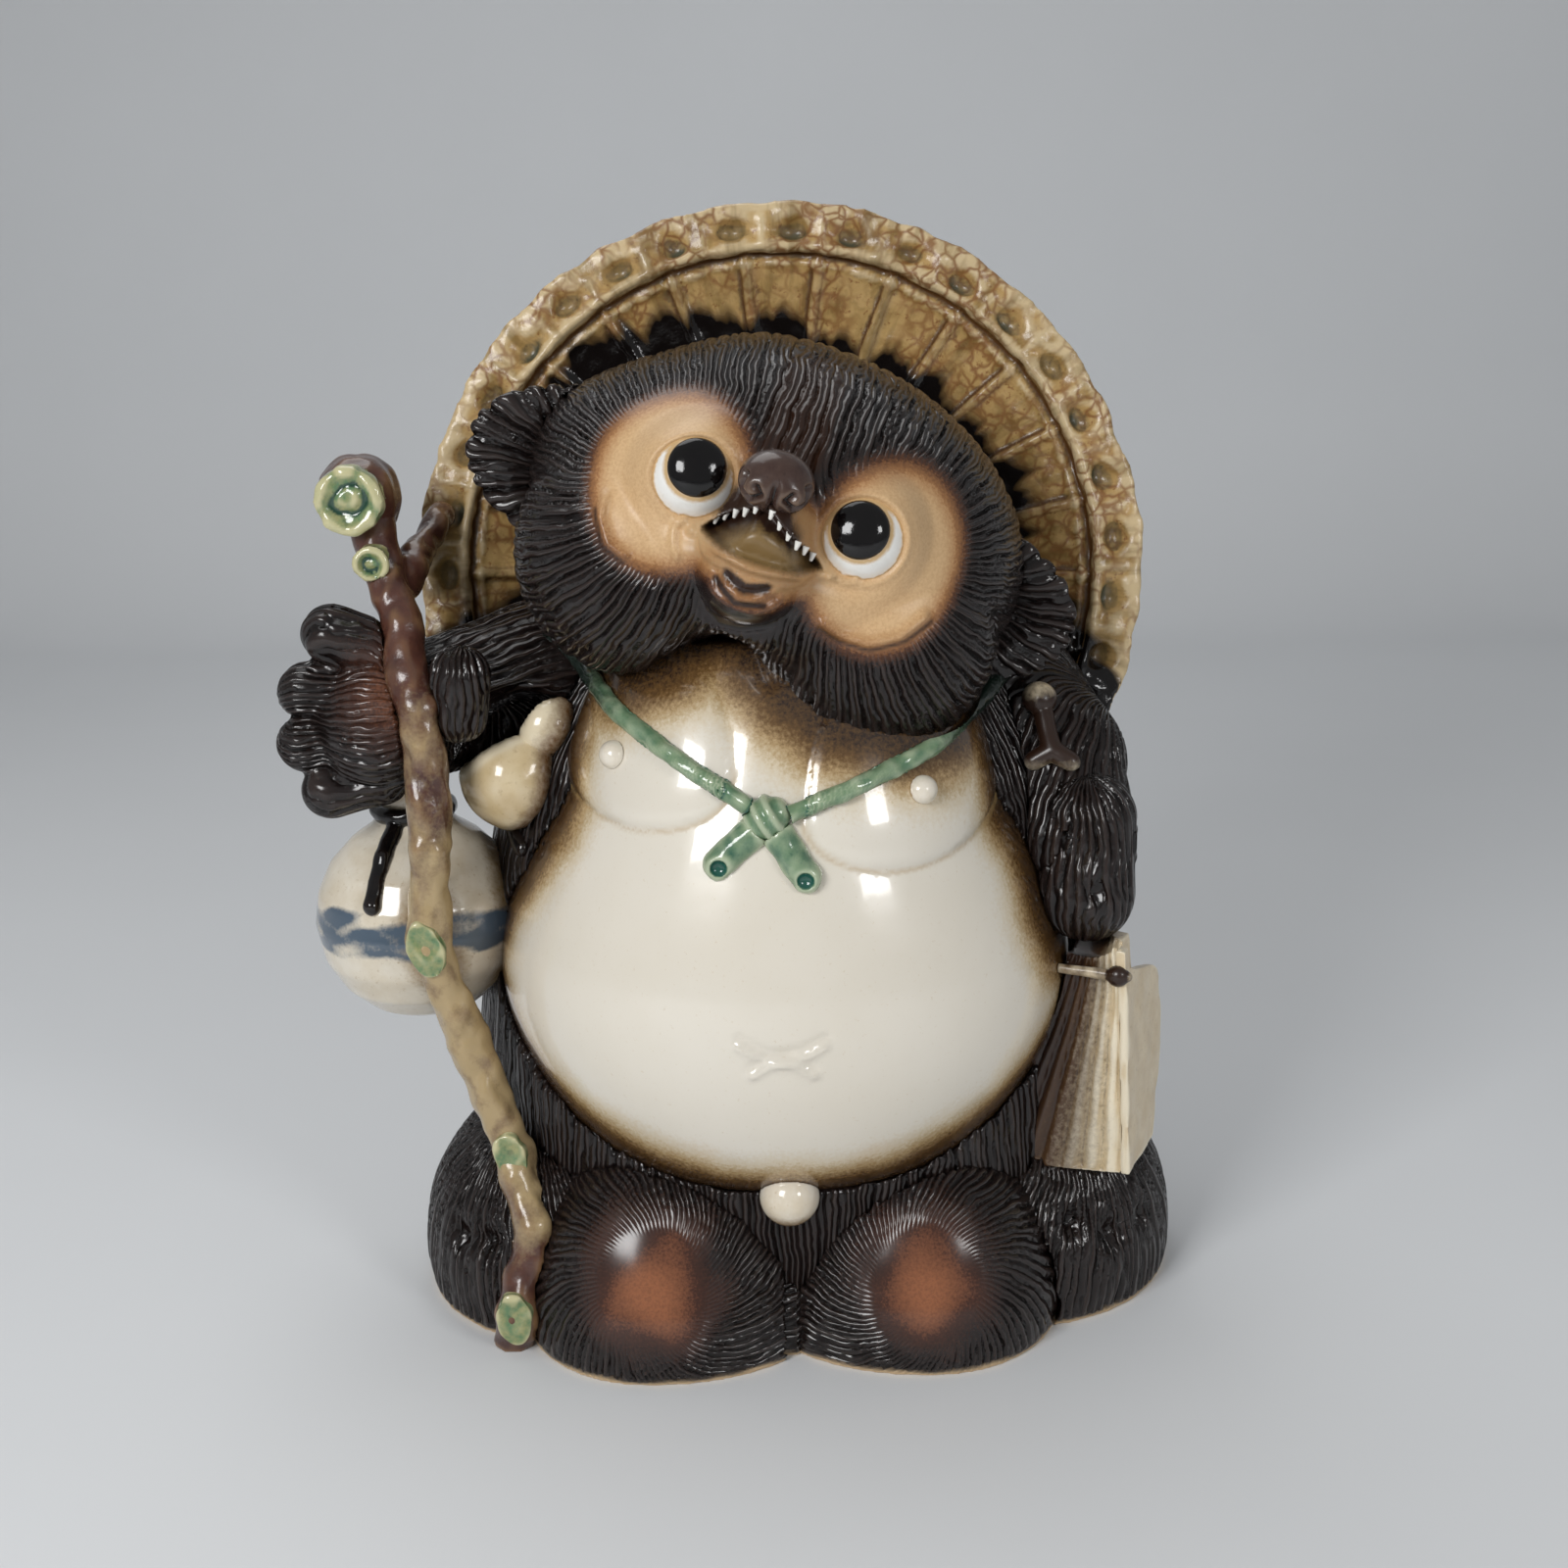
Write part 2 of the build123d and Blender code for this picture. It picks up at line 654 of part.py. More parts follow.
# Double gourd and its strap
right_side = [trunk, right_arm]
gourd_at = on_front(right_side, *GOURD_AT, GOURD_OUT)
gourd_top = gourd_at + Vector(*GOURD_TOP_SHIFT)
with BuildPart() as gourd_form:
    with Locations(gourd_at):
        Sphere(GOURD_RADIUS)
    with Locations(gourd_top):
        Sphere(GOURD_TOP_RADIUS)
    with Locations(gourd_top + Vector(*GOURD_TOP_SHIFT).normalized() * GOURD_TOP_RADIUS):
        Sphere(GOURD_TIP_RADIUS)
    seat(trunk, right_arm, right_paw, staff, sake_flask)
gourd = write(gourd_form, "gourd")

with BuildPart() as gourd_strap:
    strap_ends = [on_front(right_side, *place) for place in (STRAP_TOP, STRAP_TIP)]
    add(limb(*strap_ends, STRAP_RADIUS, STRAP_RADIUS))
    seat(trunk, right_arm, right_paw, staff, sake_flask, gourd)
write(gourd_strap, "gourd_strap")

# Account book: pages that fan out downwards between two covers, tied with a string
turn = radians(LEDGER_TURN)
ledger_across = (cos(turn), -sin(turn), 0)
ledger_ends = ((LEDGER_EDGE_TOP, LEDGER_TOP_DEPTH), (LEDGER_EDGE_FOOT, LEDGER_FOOT_DEPTH))


def ledger_slab(near, far):
    """Loft a slab of the book between two places across it, each as its top and foot offset."""
    with BuildPart() as slab:
        for end, (corner, depth) in enumerate(ledger_ends):
            with BuildSketch(Plane(corner, x_dir=ledger_across, z_dir=(0, 0, 1))):
                with Locations((near[end], 0)):
                    Rectangle(far[end] - near[end], depth, align=(Align.MIN, Align.MIN))
        loft()
        seat(trunk, left_arm, left_paw, left_foot)
    return slab


inner = (-LEDGER_TOP_WIDTH, -LEDGER_FOOT_WIDTH)
pages = write(ledger_slab(inner, (0, 0)), "ledger_pages")
cover = write(ledger_slab((0, 0), (COVER_THICKNESS, COVER_THICKNESS)), "ledger_cover")

string_share = STRING_DROP / (LEDGER_EDGE_TOP[2] - LEDGER_EDGE_FOOT[2])
string_at = Vector(*LEDGER_EDGE_TOP) + (Vector(*LEDGER_EDGE_FOOT) - Vector(*LEDGER_EDGE_TOP)) * string_share
string_width = LEDGER_TOP_WIDTH + (LEDGER_FOOT_WIDTH - LEDGER_TOP_WIDTH) * string_share
string_line = Vector(*ledger_across)

with BuildPart() as ledger_string:
    string_ends = (string_at - string_line * string_width, string_at + string_line * COVER_THICKNESS)
    add(limb(*string_ends, STRING_RADIUS, STRING_RADIUS))
    with Locations(string_at):
        Sphere(STRING_KNOT_RADIUS)
    seat(pages, cover, trunk)
write(ledger_string, "ledger_string")

# Bow of the cord that the book hangs by
with BuildPart() as ledger_cord:
    loop_at = on_front([left_arm], *BOW_LOOP_AT)
    bow_at = on_front([left_arm], *BOW_AT)
    add(limb(loop_at, bow_at, BOW_CORD_RADIUS, BOW_CORD_RADIUS))
    with Locations(loop_at):
        Sphere(BOW_LOOP_RADIUS)
    for aside in (-BOW_SPREAD, BOW_SPREAD):
        bow_tip = on_front([left_arm], bow_at.X + aside, bow_at.Z - BOW_DROP)
        add(limb(bow_at, bow_tip, BOW_CORD_RADIUS, BOW_CORD_RADIUS))
    seat(left_arm)
write(ledger_cord, "ledger_cord")

# Chin tie: a knot, two loose ends and two cords up to the cheeks
with BuildPart() as knot_form:
    with Locations(on_front([trunk], *KNOT_AT)):
        Sphere(KNOT_RADIUS)
    seat(trunk)
tie_knot = write(knot_form, "tie_knot")


def make_tie_end(place, label, *neighbours):
    """Make one loose end of the tie, with a dimple in its tip, and return its solid."""
    tip = on_front([trunk], *place)
    with BuildPart() as tie_end:
        add(limb(on_front([trunk], *KNOT_AT), tip, TIE_END_RADIUS, TIE_END_RADIUS))
        with Locations(tip - Vector(0, TIE_END_RADIUS, 0)):
            Sphere(TIE_END_DIMPLE, mode=Mode.SUBTRACT)
        seat(trunk, tie_knot, *neighbours)
    return write(tie_end, label)


right_tie_end = make_tie_end(RIGHT_TIE_END_AT, "tie_end_right")
left_tie_end = make_tie_end(LEFT_TIE_END_AT, "tie_end_left", right_tie_end)
chest = [trunk, right_arm, left_arm]


def make_tie(points, label, *neighbours):
    """Lay one cord of the tie along the chest and return its solid."""
    route = [on_front(chest, across, up, TIE_RADIUS - TIE_BURIED) for across, up in points]
    with BuildPart() as tie:
        with BuildLine() as line:
            FilletPolyline(*route, radius=TIE_BEND)
        with BuildSketch(Plane(route[0], z_dir=line.line % 0)):
            Circle(TIE_RADIUS)
        sweep(path=line.line)
        seat(trunk, right_arm, left_arm, head, tie_knot, *neighbours)
    return write(tie, label)


right_tie = make_tie(RIGHT_TIE_POINTS, "chin_tie_right", right_tie_end)
left_tie = make_tie(LEFT_TIE_POINTS, "chin_tie_left", left_tie_end, ears["left_ear"])

# Chest studs
for place, tie, label in ((RIGHT_STUD_AT, right_tie, "right_stud"), (LEFT_STUD_AT, left_tie, "left_stud")):
    with BuildPart() as stud:
        with Locations(on_front([trunk], *place)):
            Sphere(STUD_RADIUS)
        seat(trunk, tie)
    write(stud, label)
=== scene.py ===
# %% [markdown]
# # A glazed stoneware raccoon dog
# The real figure is pressed from clay in moulds, luted together, combed and dented while the clay is
# soft, then glazed with brush and spray gun and fired. It could be sculpted as one mesh, but then no
# piece would have a glaze of its own. So this lesson follows the potter: it takes clay from the packed
# solids, works the skin of each piece, sprays masks on it and lets the materials read those masks.
# The frame comes first, because every piece has to sit where it says.

from math import cos, pi, radians, sin

import bmesh
import bpy
import numpy as np
from mathutils import Matrix, Vector
from mathutils.kdtree import KDTree


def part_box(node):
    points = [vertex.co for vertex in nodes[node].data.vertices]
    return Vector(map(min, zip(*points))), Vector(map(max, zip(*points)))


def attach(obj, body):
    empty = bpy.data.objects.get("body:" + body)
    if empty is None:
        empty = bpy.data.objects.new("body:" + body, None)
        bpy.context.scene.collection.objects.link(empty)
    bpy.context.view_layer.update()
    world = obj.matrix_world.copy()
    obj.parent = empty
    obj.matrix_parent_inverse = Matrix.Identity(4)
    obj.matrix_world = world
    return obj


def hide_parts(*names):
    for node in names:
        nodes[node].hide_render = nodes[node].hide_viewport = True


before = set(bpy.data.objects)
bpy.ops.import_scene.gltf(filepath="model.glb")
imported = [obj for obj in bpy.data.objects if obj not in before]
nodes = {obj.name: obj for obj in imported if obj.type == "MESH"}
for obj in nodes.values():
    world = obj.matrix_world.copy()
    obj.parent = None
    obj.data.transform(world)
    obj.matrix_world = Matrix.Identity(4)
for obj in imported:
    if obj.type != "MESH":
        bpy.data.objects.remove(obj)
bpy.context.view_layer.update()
print(len(nodes), "solids in the frame")

# %% [markdown]
# ## Camera
# The figure was photographed from a little above with a normal lens. A camera can be aimed with a
# constraint, but here its place and its angles are written down, because they were matched to the
# photograph: it looks down, pans by one degree and rolls back by one degree.

# %% Camera
CAMERA_PLACE = (0.01013, -0.57132, 0.31346)
CAMERA_TILT, CAMERA_PAN = radians(74), radians(1)
scene = bpy.context.scene
scene.view_settings.view_transform = "Standard"


def link(name, data):
    """Put new data into the scene as an object at the origin."""
    piece = bpy.data.objects.new(name, data)
    scene.collection.objects.link(piece)
    return piece


camera = link("camera", bpy.data.cameras.new("camera"))
camera.data.lens = 45
camera.data.sensor_width = 36
pan, roll_back = (Matrix.Rotation(turn, 4, "Z") for turn in (CAMERA_PAN, -CAMERA_PAN))
aim = pan @ Matrix.Rotation(CAMERA_TILT, 4, "X") @ roll_back
camera.matrix_world = Matrix.Translation(CAMERA_PLACE) @ aim
scene.camera = camera
print("camera", camera.data.lens, "mm at", CAMERA_PLACE)

# %% [markdown]
# ## Tools for shading
# Colours are written as they look on screen, and the shader wants linear values, so one function turns
# them over. Another adds any node with its options and sockets; a function for every kind of node would
# hide what a tree is made of. Patterns are given by their real size in mm, because that can be measured
# on the figure.


# %% Shading tools
def tint(code):
    """Turn a hex colour as seen on screen into linear RGBA."""
    seen = [int(code[start : start + 2], 16) / 255 for start in (1, 3, 5)]
    return [part / 12.92 if part <= 0.04045 else ((part + 0.055) / 1.055) ** 2.4 for part in seen] + [1]


def fill(tree, node, inputs):
    """Fill or link input sockets of a node."""
    for key, value in inputs.items():
        if isinstance(value, bpy.types.NodeSocket):
            tree.links.new(value, node.inputs[key])
        else:
            node.inputs[key].default_value = value


def add(tree, kind, inputs, **settings):
    """Add a node, set its options, and fill or link its input sockets."""
    node = tree.nodes.new("ShaderNode" + kind)
    for option, value in settings.items():
        setattr(node, option, value)
    fill(tree, node, inputs)
    return node


def per_metre(size):
    """Return how often a pattern repeats in a metre, from its real size in mm."""
    return 1000 / size


print("mid grey on screen is", round(tint("#808080")[0], 3), "in linear light")

# %% [markdown]
# ## A material and its coats
# Every glaze here is built alike. It reads masks from the points and noises by their size, detail and
# roughness, and then its colours are laid over each other as coats. A coat comes in between two values
# of a mask or noise, up to a share. One colour ramp per glaze could do that too, but coats can each
# follow a mask of their own.


# %% Coats
def start_material(name, masks=(), noises=()):
    """Start a material. Return it with its tree, its shader, and its place, masks and noises by name."""
    material = bpy.data.materials.new(name)
    material.use_nodes = True
    tree = material.node_tree
    place = add(tree, "TexCoord", {}).outputs["Object"]
    fields = {"place": place}
    for mask in masks:
        fields[mask] = add(tree, "Attribute", {}, attribute_name=mask).outputs["Fac"]
    for field, size, detail, roughness in noises:
        pattern = {"Vector": place, "Scale": per_metre(size), "Detail": detail, "Roughness": roughness}
        fields[field] = add(tree, "TexNoise", pattern).outputs[0]
    return material, tree, tree.nodes["Principled BSDF"], fields


def lay_coats(tree, ground, coats):
    """Lay colours over a ground. A coat comes in between two values of a field, up to a share."""
    colour = tint(ground)
    for field, low, high, most, code in coats:
        share = add(tree, "MapRange", {"Value": field, "From Min": low, "From Max": high, "To Max": most})
        layer = {0: share.outputs[0], 6: colour, 7: tint(code)}
        colour = add(tree, "Mix", layer, data_type="RGBA").outputs[2]
    return colour


card, tree, shader, fields = start_material("matt_white_card", noises=[("mottle", 170, 2, 0.5)])
# Matt white card, a touch cool: no highlight, and the faintest mottle so that it isn't one flat value.
card_colour = lay_coats(tree, "#dddfe1", [(fields["mottle"], 0, 1, 1, "#e2e4e6")])
fill(tree, shader, {"Base Color": card_colour, "Roughness": 0.7})
print("card has", len(tree.nodes), "nodes")

# %% [markdown]
# ## Floor and backdrop
# A photographer hangs one sheet of card that folds up behind the figure, so that no horizon line shows.
# A curved sheet could be lofted. Here one edge of a flat grid is drawn up into a wall and the fold is
# rounded by a bevel, which takes two operators. The wall stands far enough back that a camera behind
# the figure is still in front of it.

# %% Floor
SHEET, FOLD = 1.6, 0.2  # m: half a side of the card, and the radius of its fold


def set_down(name, shape):
    """Turn a bmesh into an object at the origin."""
    mesh = bpy.data.meshes.new(name)
    shape.to_mesh(mesh)
    shape.free()
    return link(name, mesh)


sweep = bmesh.new()
bmesh.ops.create_grid(sweep, x_segments=1, y_segments=1, size=SHEET)
bmesh.ops.translate(sweep, verts=sweep.verts, vec=(0, -0.5, 0))
far_edge = max(sweep.edges, key=lambda edge: edge.verts[0].co.y + edge.verts[1].co.y)
wall = bmesh.ops.extrude_edge_only(sweep, edges=[far_edge])["geom"]
wall_top = [part for part in wall if isinstance(part, bmesh.types.BMVert)]
bmesh.ops.translate(sweep, verts=wall_top, vec=(0, 0, SHEET))
fold = [edge for edge in sweep.edges if len(edge.link_faces) == 2]
bmesh.ops.bevel(sweep, geom=fold, offset=FOLD, segments=16, profile=0.5, affect="EDGES", material=-1)
floor = set_down("floor", sweep)
floor.data.shade_smooth()
floor.data.materials.append(card)
print("floor", len(floor.data.polygons), "faces")

# %% [markdown]
# ## Lamps
# In the photograph soft lights are mirrored in the belly, and the room fills the shadows. Point lamps
# would leave hard spots, so area lamps stand for the lights: a key lamp and a side lamp in front, and a
# weak one behind for the rim of the hat. A pale world gives the fill.

# %% Lamps
LIT_POINT = Vector((0, -0.03, 0.15))
for name, where, size, power in (
    ("key_lamp", (-0.55, -0.9, 0.66), 0.4, 7.2),
    ("side_lamp", (0.7, -0.85, 0.55), 0.25, 2.5),
    ("back_lamp", (-0.2, 0.3, 1.0), 0.6, 2.2),
):
    lamp = link(name, bpy.data.lights.new(name, "AREA"))
    lamp.data.energy = power
    lamp.data.size = size
    towards = (LIT_POINT - Vector(where)).to_track_quat("-Z", "Y").to_matrix().to_4x4()
    lamp.matrix_world = Matrix.Translation(where) @ towards
    print(name, power, "W")

scene.world = bpy.data.worlds.new("pale_room")
scene.world.use_nodes = True
room = scene.world.node_tree
fill(room, room.nodes["Background"], {"Color": tint("#eef0f2"), "Strength": 0.3})

# %% [markdown]
# ## Dark fur glaze
# An iron glaze, nearly black and satin, lies over combed clay. Strands finer than the mesh could be
# modelled with many more points, but drawing them in the glaze is lighter: the comb leaves an angle and
# a number of strands on the points, and the sine of both gives ridges, which a noise makes wander.

# %% Fur strands
fur_glaze, tree, shader, fields = start_material(
    "iron_black_satin_fur_glaze",
    masks=("furrow", "crest", "fur", "strands", "patch", "olive", "warm", "shadow", "bare"),
    noises=[("stipple", 0.77, 2, 0.7), ("cloud", 18.2, 3, 0.5), ("wander", 13.3, 2, 0.5)],
)
# Satin iron black: narrow highlights run along the strands, and thin crests look brown. A droplet of
# the spray is finer than the stipple's 0.77 mm, which is as fine as still shows in the render.
lie = add(tree, "Attribute", {}, attribute_name="lie").outputs["Vector"]
lie_parts = add(tree, "SeparateXYZ", {0: lie}).outputs
wander = add(tree, "MapRange", {"Value": fields["wander"], "To Min": -8, "To Max": 8}).outputs[0]
angle = add(tree, "Math", {0: lie_parts[1], 1: lie_parts[0]}, operation="ARCTAN2").outputs[0]
phase = add(tree, "Math", {0: angle, 1: fields["strands"], 2: wander}, operation="MULTIPLY_ADD").outputs[0]
half = add(tree, "Math", {0: phase, 1: 0.5}, operation="MULTIPLY").outputs[0]
wave = add(tree, "Math", {0: half}, operation="SINE").outputs[0]
ridge = add(tree, "Math", {0: wave}, operation="ABSOLUTE").outputs[0]
strands = add(tree, "Math", {0: ridge, 1: fields["fur"]}, operation="MULTIPLY").outputs[0]
groove = add(tree, "Math", {0: fields["fur"], 1: strands}, operation="SUBTRACT").outputs[0]
print("strands take", len(tree.nodes), "nodes")

# %% [markdown]
# ## Colours of the fur
# The glaze is brownish on the crests and black in the furrows. A spray gun laid tan on the cheeks and
# orange on the bags over it, so those colours fade out in fine stipple, and the foot was wiped bare. An
# image could hold all that; masks on the points need none, and a stipple breaks up their edges.


# %% Fur colours
def fuzz(tree, fields, *masks):
    """Break up the edges of masks with the stipple, as a spray gun does."""
    spread = {"From Min": 0.3, "From Max": 0.7, "To Min": -0.1, "To Max": 0.1}
    jitter = add(tree, "MapRange", {"Value": fields["stipple"], **spread}).outputs[0]
    return {mask: add(tree, "Math", {0: fields[mask], 1: jitter}).outputs[0] for mask in masks}


sprayed = fuzz(tree, fields, "warm", "patch", "olive", "shadow")
fur_coats = (
    (fields["cloud"], 0, 1, 1, "#150f0e"),
    (fields["crest"], 0, 1, 0.6, "#352b27"),
    (groove, 0.3, 1, 0.8, "#0b0706"),
    (fields["furrow"], 0, 1, 1, "#090605"),
    (sprayed["warm"], 0.1, 0.6, 1, "#4a2d22"),
    (sprayed["warm"], 0.5, 1, 1, "#9a6243"),
    (sprayed["patch"], 0.05, 0.4, 1, "#5e3a24"),
    (sprayed["patch"], 0.3, 0.7, 1, "#a5764a"),
    (sprayed["patch"], 0.6, 1.05, 1, "#d0ae82"),
    (sprayed["olive"], 0.2, 0.8, 1, "#7d653e"),
    # Dark brown: glaze on the jaw, round the nose and up the brow, and painted shade in the mouth and under
    # the cheek folds.
    (sprayed["shadow"], 0.25, 0.8, 1, "#2c1a11"),
    (fields["bare"], 0, 1, 1, "#d2b690"),
)
dull = add(tree, "MapRange", {"Value": fields["patch"], "To Min": 0.2, "To Max": 0.4}).outputs[0]
fur_finish = {
    "Base Color": lay_coats(tree, "#261d1c", fur_coats),
    "Roughness": add(tree, "Mix", {0: fields["bare"], 2: dull, 3: 0.85}).outputs[0],
    "Specular IOR Level": 0.5,
    "Normal": add(tree, "Bump", {"Height": strands, "Strength": 1, "Distance": 0.0007}).outputs[0],
}
fill(tree, shader, fur_finish)
print("fur glaze has", len(fur_coats), "coats")

# %% [markdown]
# ## Cream belly glaze
# The belly carries a thick, glossy cream glaze over an iron wash. Where it runs thin towards the fur it
# breaks to amber and then to dark brown, and a few iron specks burnt through it. A gradient along one
# axis wouldn't follow the outline, so one mask holds the distance to the fur and three coats read it.

# %% Cream belly glaze
cream_glaze, tree, shader, fields = start_material(
    "glossy_cream_glaze_over_iron",
    masks=("border", "dent"),
    noises=[("stipple", 1.1, 3, 0.7), ("cloud", 33, 3, 0.5), ("swell", 8.3, 1, 0.5)],
)
# Thick, glassy cream: sharp mirrored lamps that waver a little, since the melt isn't quite even.
sprayed = fuzz(tree, fields, "border")
cream_coats = (
    (fields["cloud"], 0, 1, 1, "#dcd4c4"),
    (fields["stipple"], 0.66, 0.8, 0.5, "#b59c78"),
    (sprayed["border"], 0.05, 0.6, 1, "#cdb68b"),
    (sprayed["border"], 0.35, 0.85, 1, "#8a6638"),
    (sprayed["border"], 0.6, 1.05, 1, "#2c1e15"),
    # Painted shade: a tan line in the crease under each breast.
    (fields["dent"], 0, 1, 1, "#b89a68"),
)
cream_finish = {
    "Base Color": lay_coats(tree, "#e5dfd3", cream_coats),
    "Roughness": 0.2,
    "Coat Weight": 0.7,
    "Coat Roughness": 0.05,
    "Normal": add(tree, "Bump", {"Height": fields["swell"], "Strength": 0.12, "Distance": 0.0006}).outputs[0],
}
fill(tree, shader, cream_finish)
print("cream glaze has", len(cream_coats), "coats")

# %% [markdown]
# ## Ochre straw glaze
# The hat is glazed ochre. The glaze thins to pale tan on ridges, pools olive-grey in hollows, is
# freckled with iron and crazed in a net of brown lines. Black glaze was trailed round the head and ran
# between the ribs. Plain noise would look like stone, so streaks and runs follow places round the hat,
# and the net is the cell edges of a pattern that a swirl pushes out of true.

# %% Straw patterns
straw_glaze, tree, shader, fields = start_material(
    "mottled_ochre_straw_glaze",
    masks=("thin", "pool", "drip", "line"),
    noises=[("blotch", 7.7, 4, 0.62), ("stipple", 2.4, 3, 0.7), ("run", 22.2, 2, 0.5)],
)
# Satin ochre with a lively surface: pale and dry on the ridges, wet and black where the runs are.
# Places round the hat are in mm, so the noises on them repeat by the mm and not by the metre.
lie = add(tree, "Attribute", {}, attribute_name="lie").outputs["Vector"]
for field, size, detail, roughness in (("streak", 4.5, 3, 0.6), ("broad", 8.3, 2, 0.5)):
    pattern = {"Vector": lie, "Scale": 1 / size, "Detail": detail, "Roughness": roughness}
    fields[field] = add(tree, "TexNoise", pattern).outputs[0]
finger_spread = {"From Min": 0.3, "From Max": 0.7, "To Min": -0.32, "To Max": 0.32}
finger = add(tree, "MapRange", {"Value": fields["broad"], **finger_spread}).outputs[0]
dripping = add(tree, "Math", {0: fields["drip"], 1: finger}).outputs[0]
black_run = add(tree, "MapRange", {"Value": dripping, "From Min": 0.42, "From Max": 0.62}).outputs[0]
swirl = {"Vector": fields["place"], "Scale": per_metre(6.25), "Detail": 2}
swirled = add(tree, "TexNoise", swirl).outputs["Color"]
shift = add(tree, "VectorMath", {0: swirled, 1: (0.005, 0.005, 0.005)}, operation="MULTIPLY").outputs[0]
warped = add(tree, "VectorMath", {0: fields["place"], 1: shift}).outputs[0]
cells = {"Vector": warped, "Scale": per_metre(4.35)}
cell_edge = add(tree, "TexVoronoi", cells, feature="DISTANCE_TO_EDGE").outputs["Distance"]
crack_width = {"From Min": 0.19, "From Max": 0.03, "To Max": 0.85}
cracks = add(tree, "MapRange", {"Value": cell_edge, **crack_width}).outputs[0]
crazed = add(tree, "MapRange", {"Value": fields["run"], "From Min": 0.36, "From Max": 0.54}).outputs[0]
net = add(tree, "Math", {0: cracks, 1: crazed}, operation="MULTIPLY").outputs[0]
print("straw patterns take", len(tree.nodes), "nodes")

# %% [markdown]
# ## Colours of the straw
# Ochre comes first, then its darker and paler blotches, the freckles, the pale ridges, the net, the
# streaks, the pools, the brown lines, and last the black runs with a brown edge. Mixing them all at
# once would turn to mud; in this order each lies over the one before it, as on the real hat.

# %% Straw colours
sprayed = fuzz(tree, fields, "pool", "line")
straw_coats = (
    (fields["run"], 0, 1, 1, "#ab8953"),
    (fields["blotch"], 0.5, 0.68, 0.6, "#6f5728"),
    (fields["blotch"], 0.44, 0.3, 0.7, "#c4a46a"),
    (fields["stipple"], 0.58, 0.68, 0.75, "#7b4a26"),
    (fields["thin"], 0, 1, 1, "#d4bf98"),
    (net, 0, 1, 1, "#825730"),
    (fields["streak"], 0.5, 0.66, 0.55, "#71592c"),
    (sprayed["pool"], 0.2, 0.8, 1, "#4f4e3d"),
    (sprayed["line"], 0.2, 0.9, 1, "#5a3a1c"),
    (dripping, 0.25, 0.45, 0.7, "#4a3520"),
    (black_run, 0, 1, 1, "#120e0d"),
)
grain = {"Height": fields["blotch"], "Strength": 0.35, "Distance": 0.0012}
straw_finish = {
    "Base Color": lay_coats(tree, "#bf9f69", straw_coats),
    "Roughness": add(tree, "MapRange", {"Value": black_run, "To Min": 0.28, "To Max": 0.14}).outputs[0],
    "Normal": add(tree, "Bump", grain).outputs[0],
}
fill(tree, shader, straw_finish)
print("straw glaze has", len(straw_coats), "coats")

# %% [markdown]
# ## The small glazes
# The tie, staff, stubs, flask, gourd, book, eyes, nose and studs each have their own brushed glaze.
# They differ in colour and in how the colour breaks, not in how they are built, so a table holds what
# differs and one loop builds them: a cloudy ground, freckles, a thin colour on the ridges, a pooled
# colour in the hollows, which on the flask and gourd is painted shade near their neighbours instead,
# and a second colour that is washed over by a mask.

# %% Small glazes
GLAZES = {
    # Colours: ground, cloud, thin, pooled (painted shade on the flask and gourd), freckle, washed.
    # Then roughness, coat, cloud in mm, bump.
    # Wet green glass, pale where it ran thin on the clay and blue-green where it stands deep.
    "copper_green_gloss_glaze": (
        ("#7a9270", "#5c7d60", "#b7c2a4", "#22564a", "#3f6550", "#14201a"), (0.14, 0.4, 4.2, 0.15)),
    # Satin bark: soft highlights on the lumps, red-brown that wears to amber.
    "red_brown_satin_staff_glaze": (
        ("#452b25", "#5c392d", "#94724f", "#2a1914", "#38221a", "#ab956e"), (0.26, 0.3, 8.3, 0.6)),
    # Glossy sawn wood: pale rims and dark green rings.
    "yellow_green_gloss_stub_glaze": (
        ("#9a9a6a", "#5f7f58", "#cfc79c", "#1d4030", "#4a5a34", "#2f6d45"), (0.14, 0.5, 3, 0.15)),
    # Smooth, glossy beige, with brown painted shade where it meets its neighbours.
    "beige_gloss_gourd_glaze": (
        ("#cfbb94", "#c0a87d", "#e4d8bd", "#6b4a2a", "#9a7c52", "#2b1a12"), (0.16, 0.4, 9.1, 0.15)),
    # Nearly dull cream that turns brown towards the inner side of the book and in the flutes.
    "cream_paper_glaze": (
        ("#dccbab", "#cdb893", "#ece2cb", "#4a331e", "#8a6d48", "#2d1c13"), (0.3, 0.1, 7.1, 0.15)),
    # Glossy warm white under a blue-grey brush stroke, with brown painted shade near the paw, staff and
    # trunk.
    "cream_white_flask_glaze": (
        ("#ded6c6", "#d2c6b0", "#ebe6da", "#8d7249", "#a88f66", "#4c5b6a"), (0.14, 0.5, 11, 0.15)),
    # Hard, clean white with a mirror-like spot of light and a tan line.
    "white_eye_glaze": (
        ("#efeeea", "#e6e4de", "#f4f3f0", "#b99c72", "#d8d2c4", "#c9a97a"), (0.08, 0.6, 6.2, 0.15)),
    # Deep black mirror.
    "black_gloss_glaze": (
        ("#080607", "#0c0a0a", "#231b18", "#040303", "#120d0c", "#1c1412"), (0.08, 0, 5, 0.15)),
    # Moist brown, a little lighter than the fur, with dark creases.
    "brown_satin_nose_glaze": (
        ("#4b3a33", "#3b2a25", "#6f5a4a", "#1a100d", "#2a1c17", "#4a352d"), (0.22, 0.1, 5, 0.15)),
    # Glossy cream that pools to amber at its foot.
    "amber_gloss_glaze": (
        ("#e2dacb", "#d8cbb4", "#ebe5d9", "#8d6a3c", "#b59a6c", "#8a6a3c"), (0.16, 0.4, 6.7, 0.15)),
}
glazes = {}
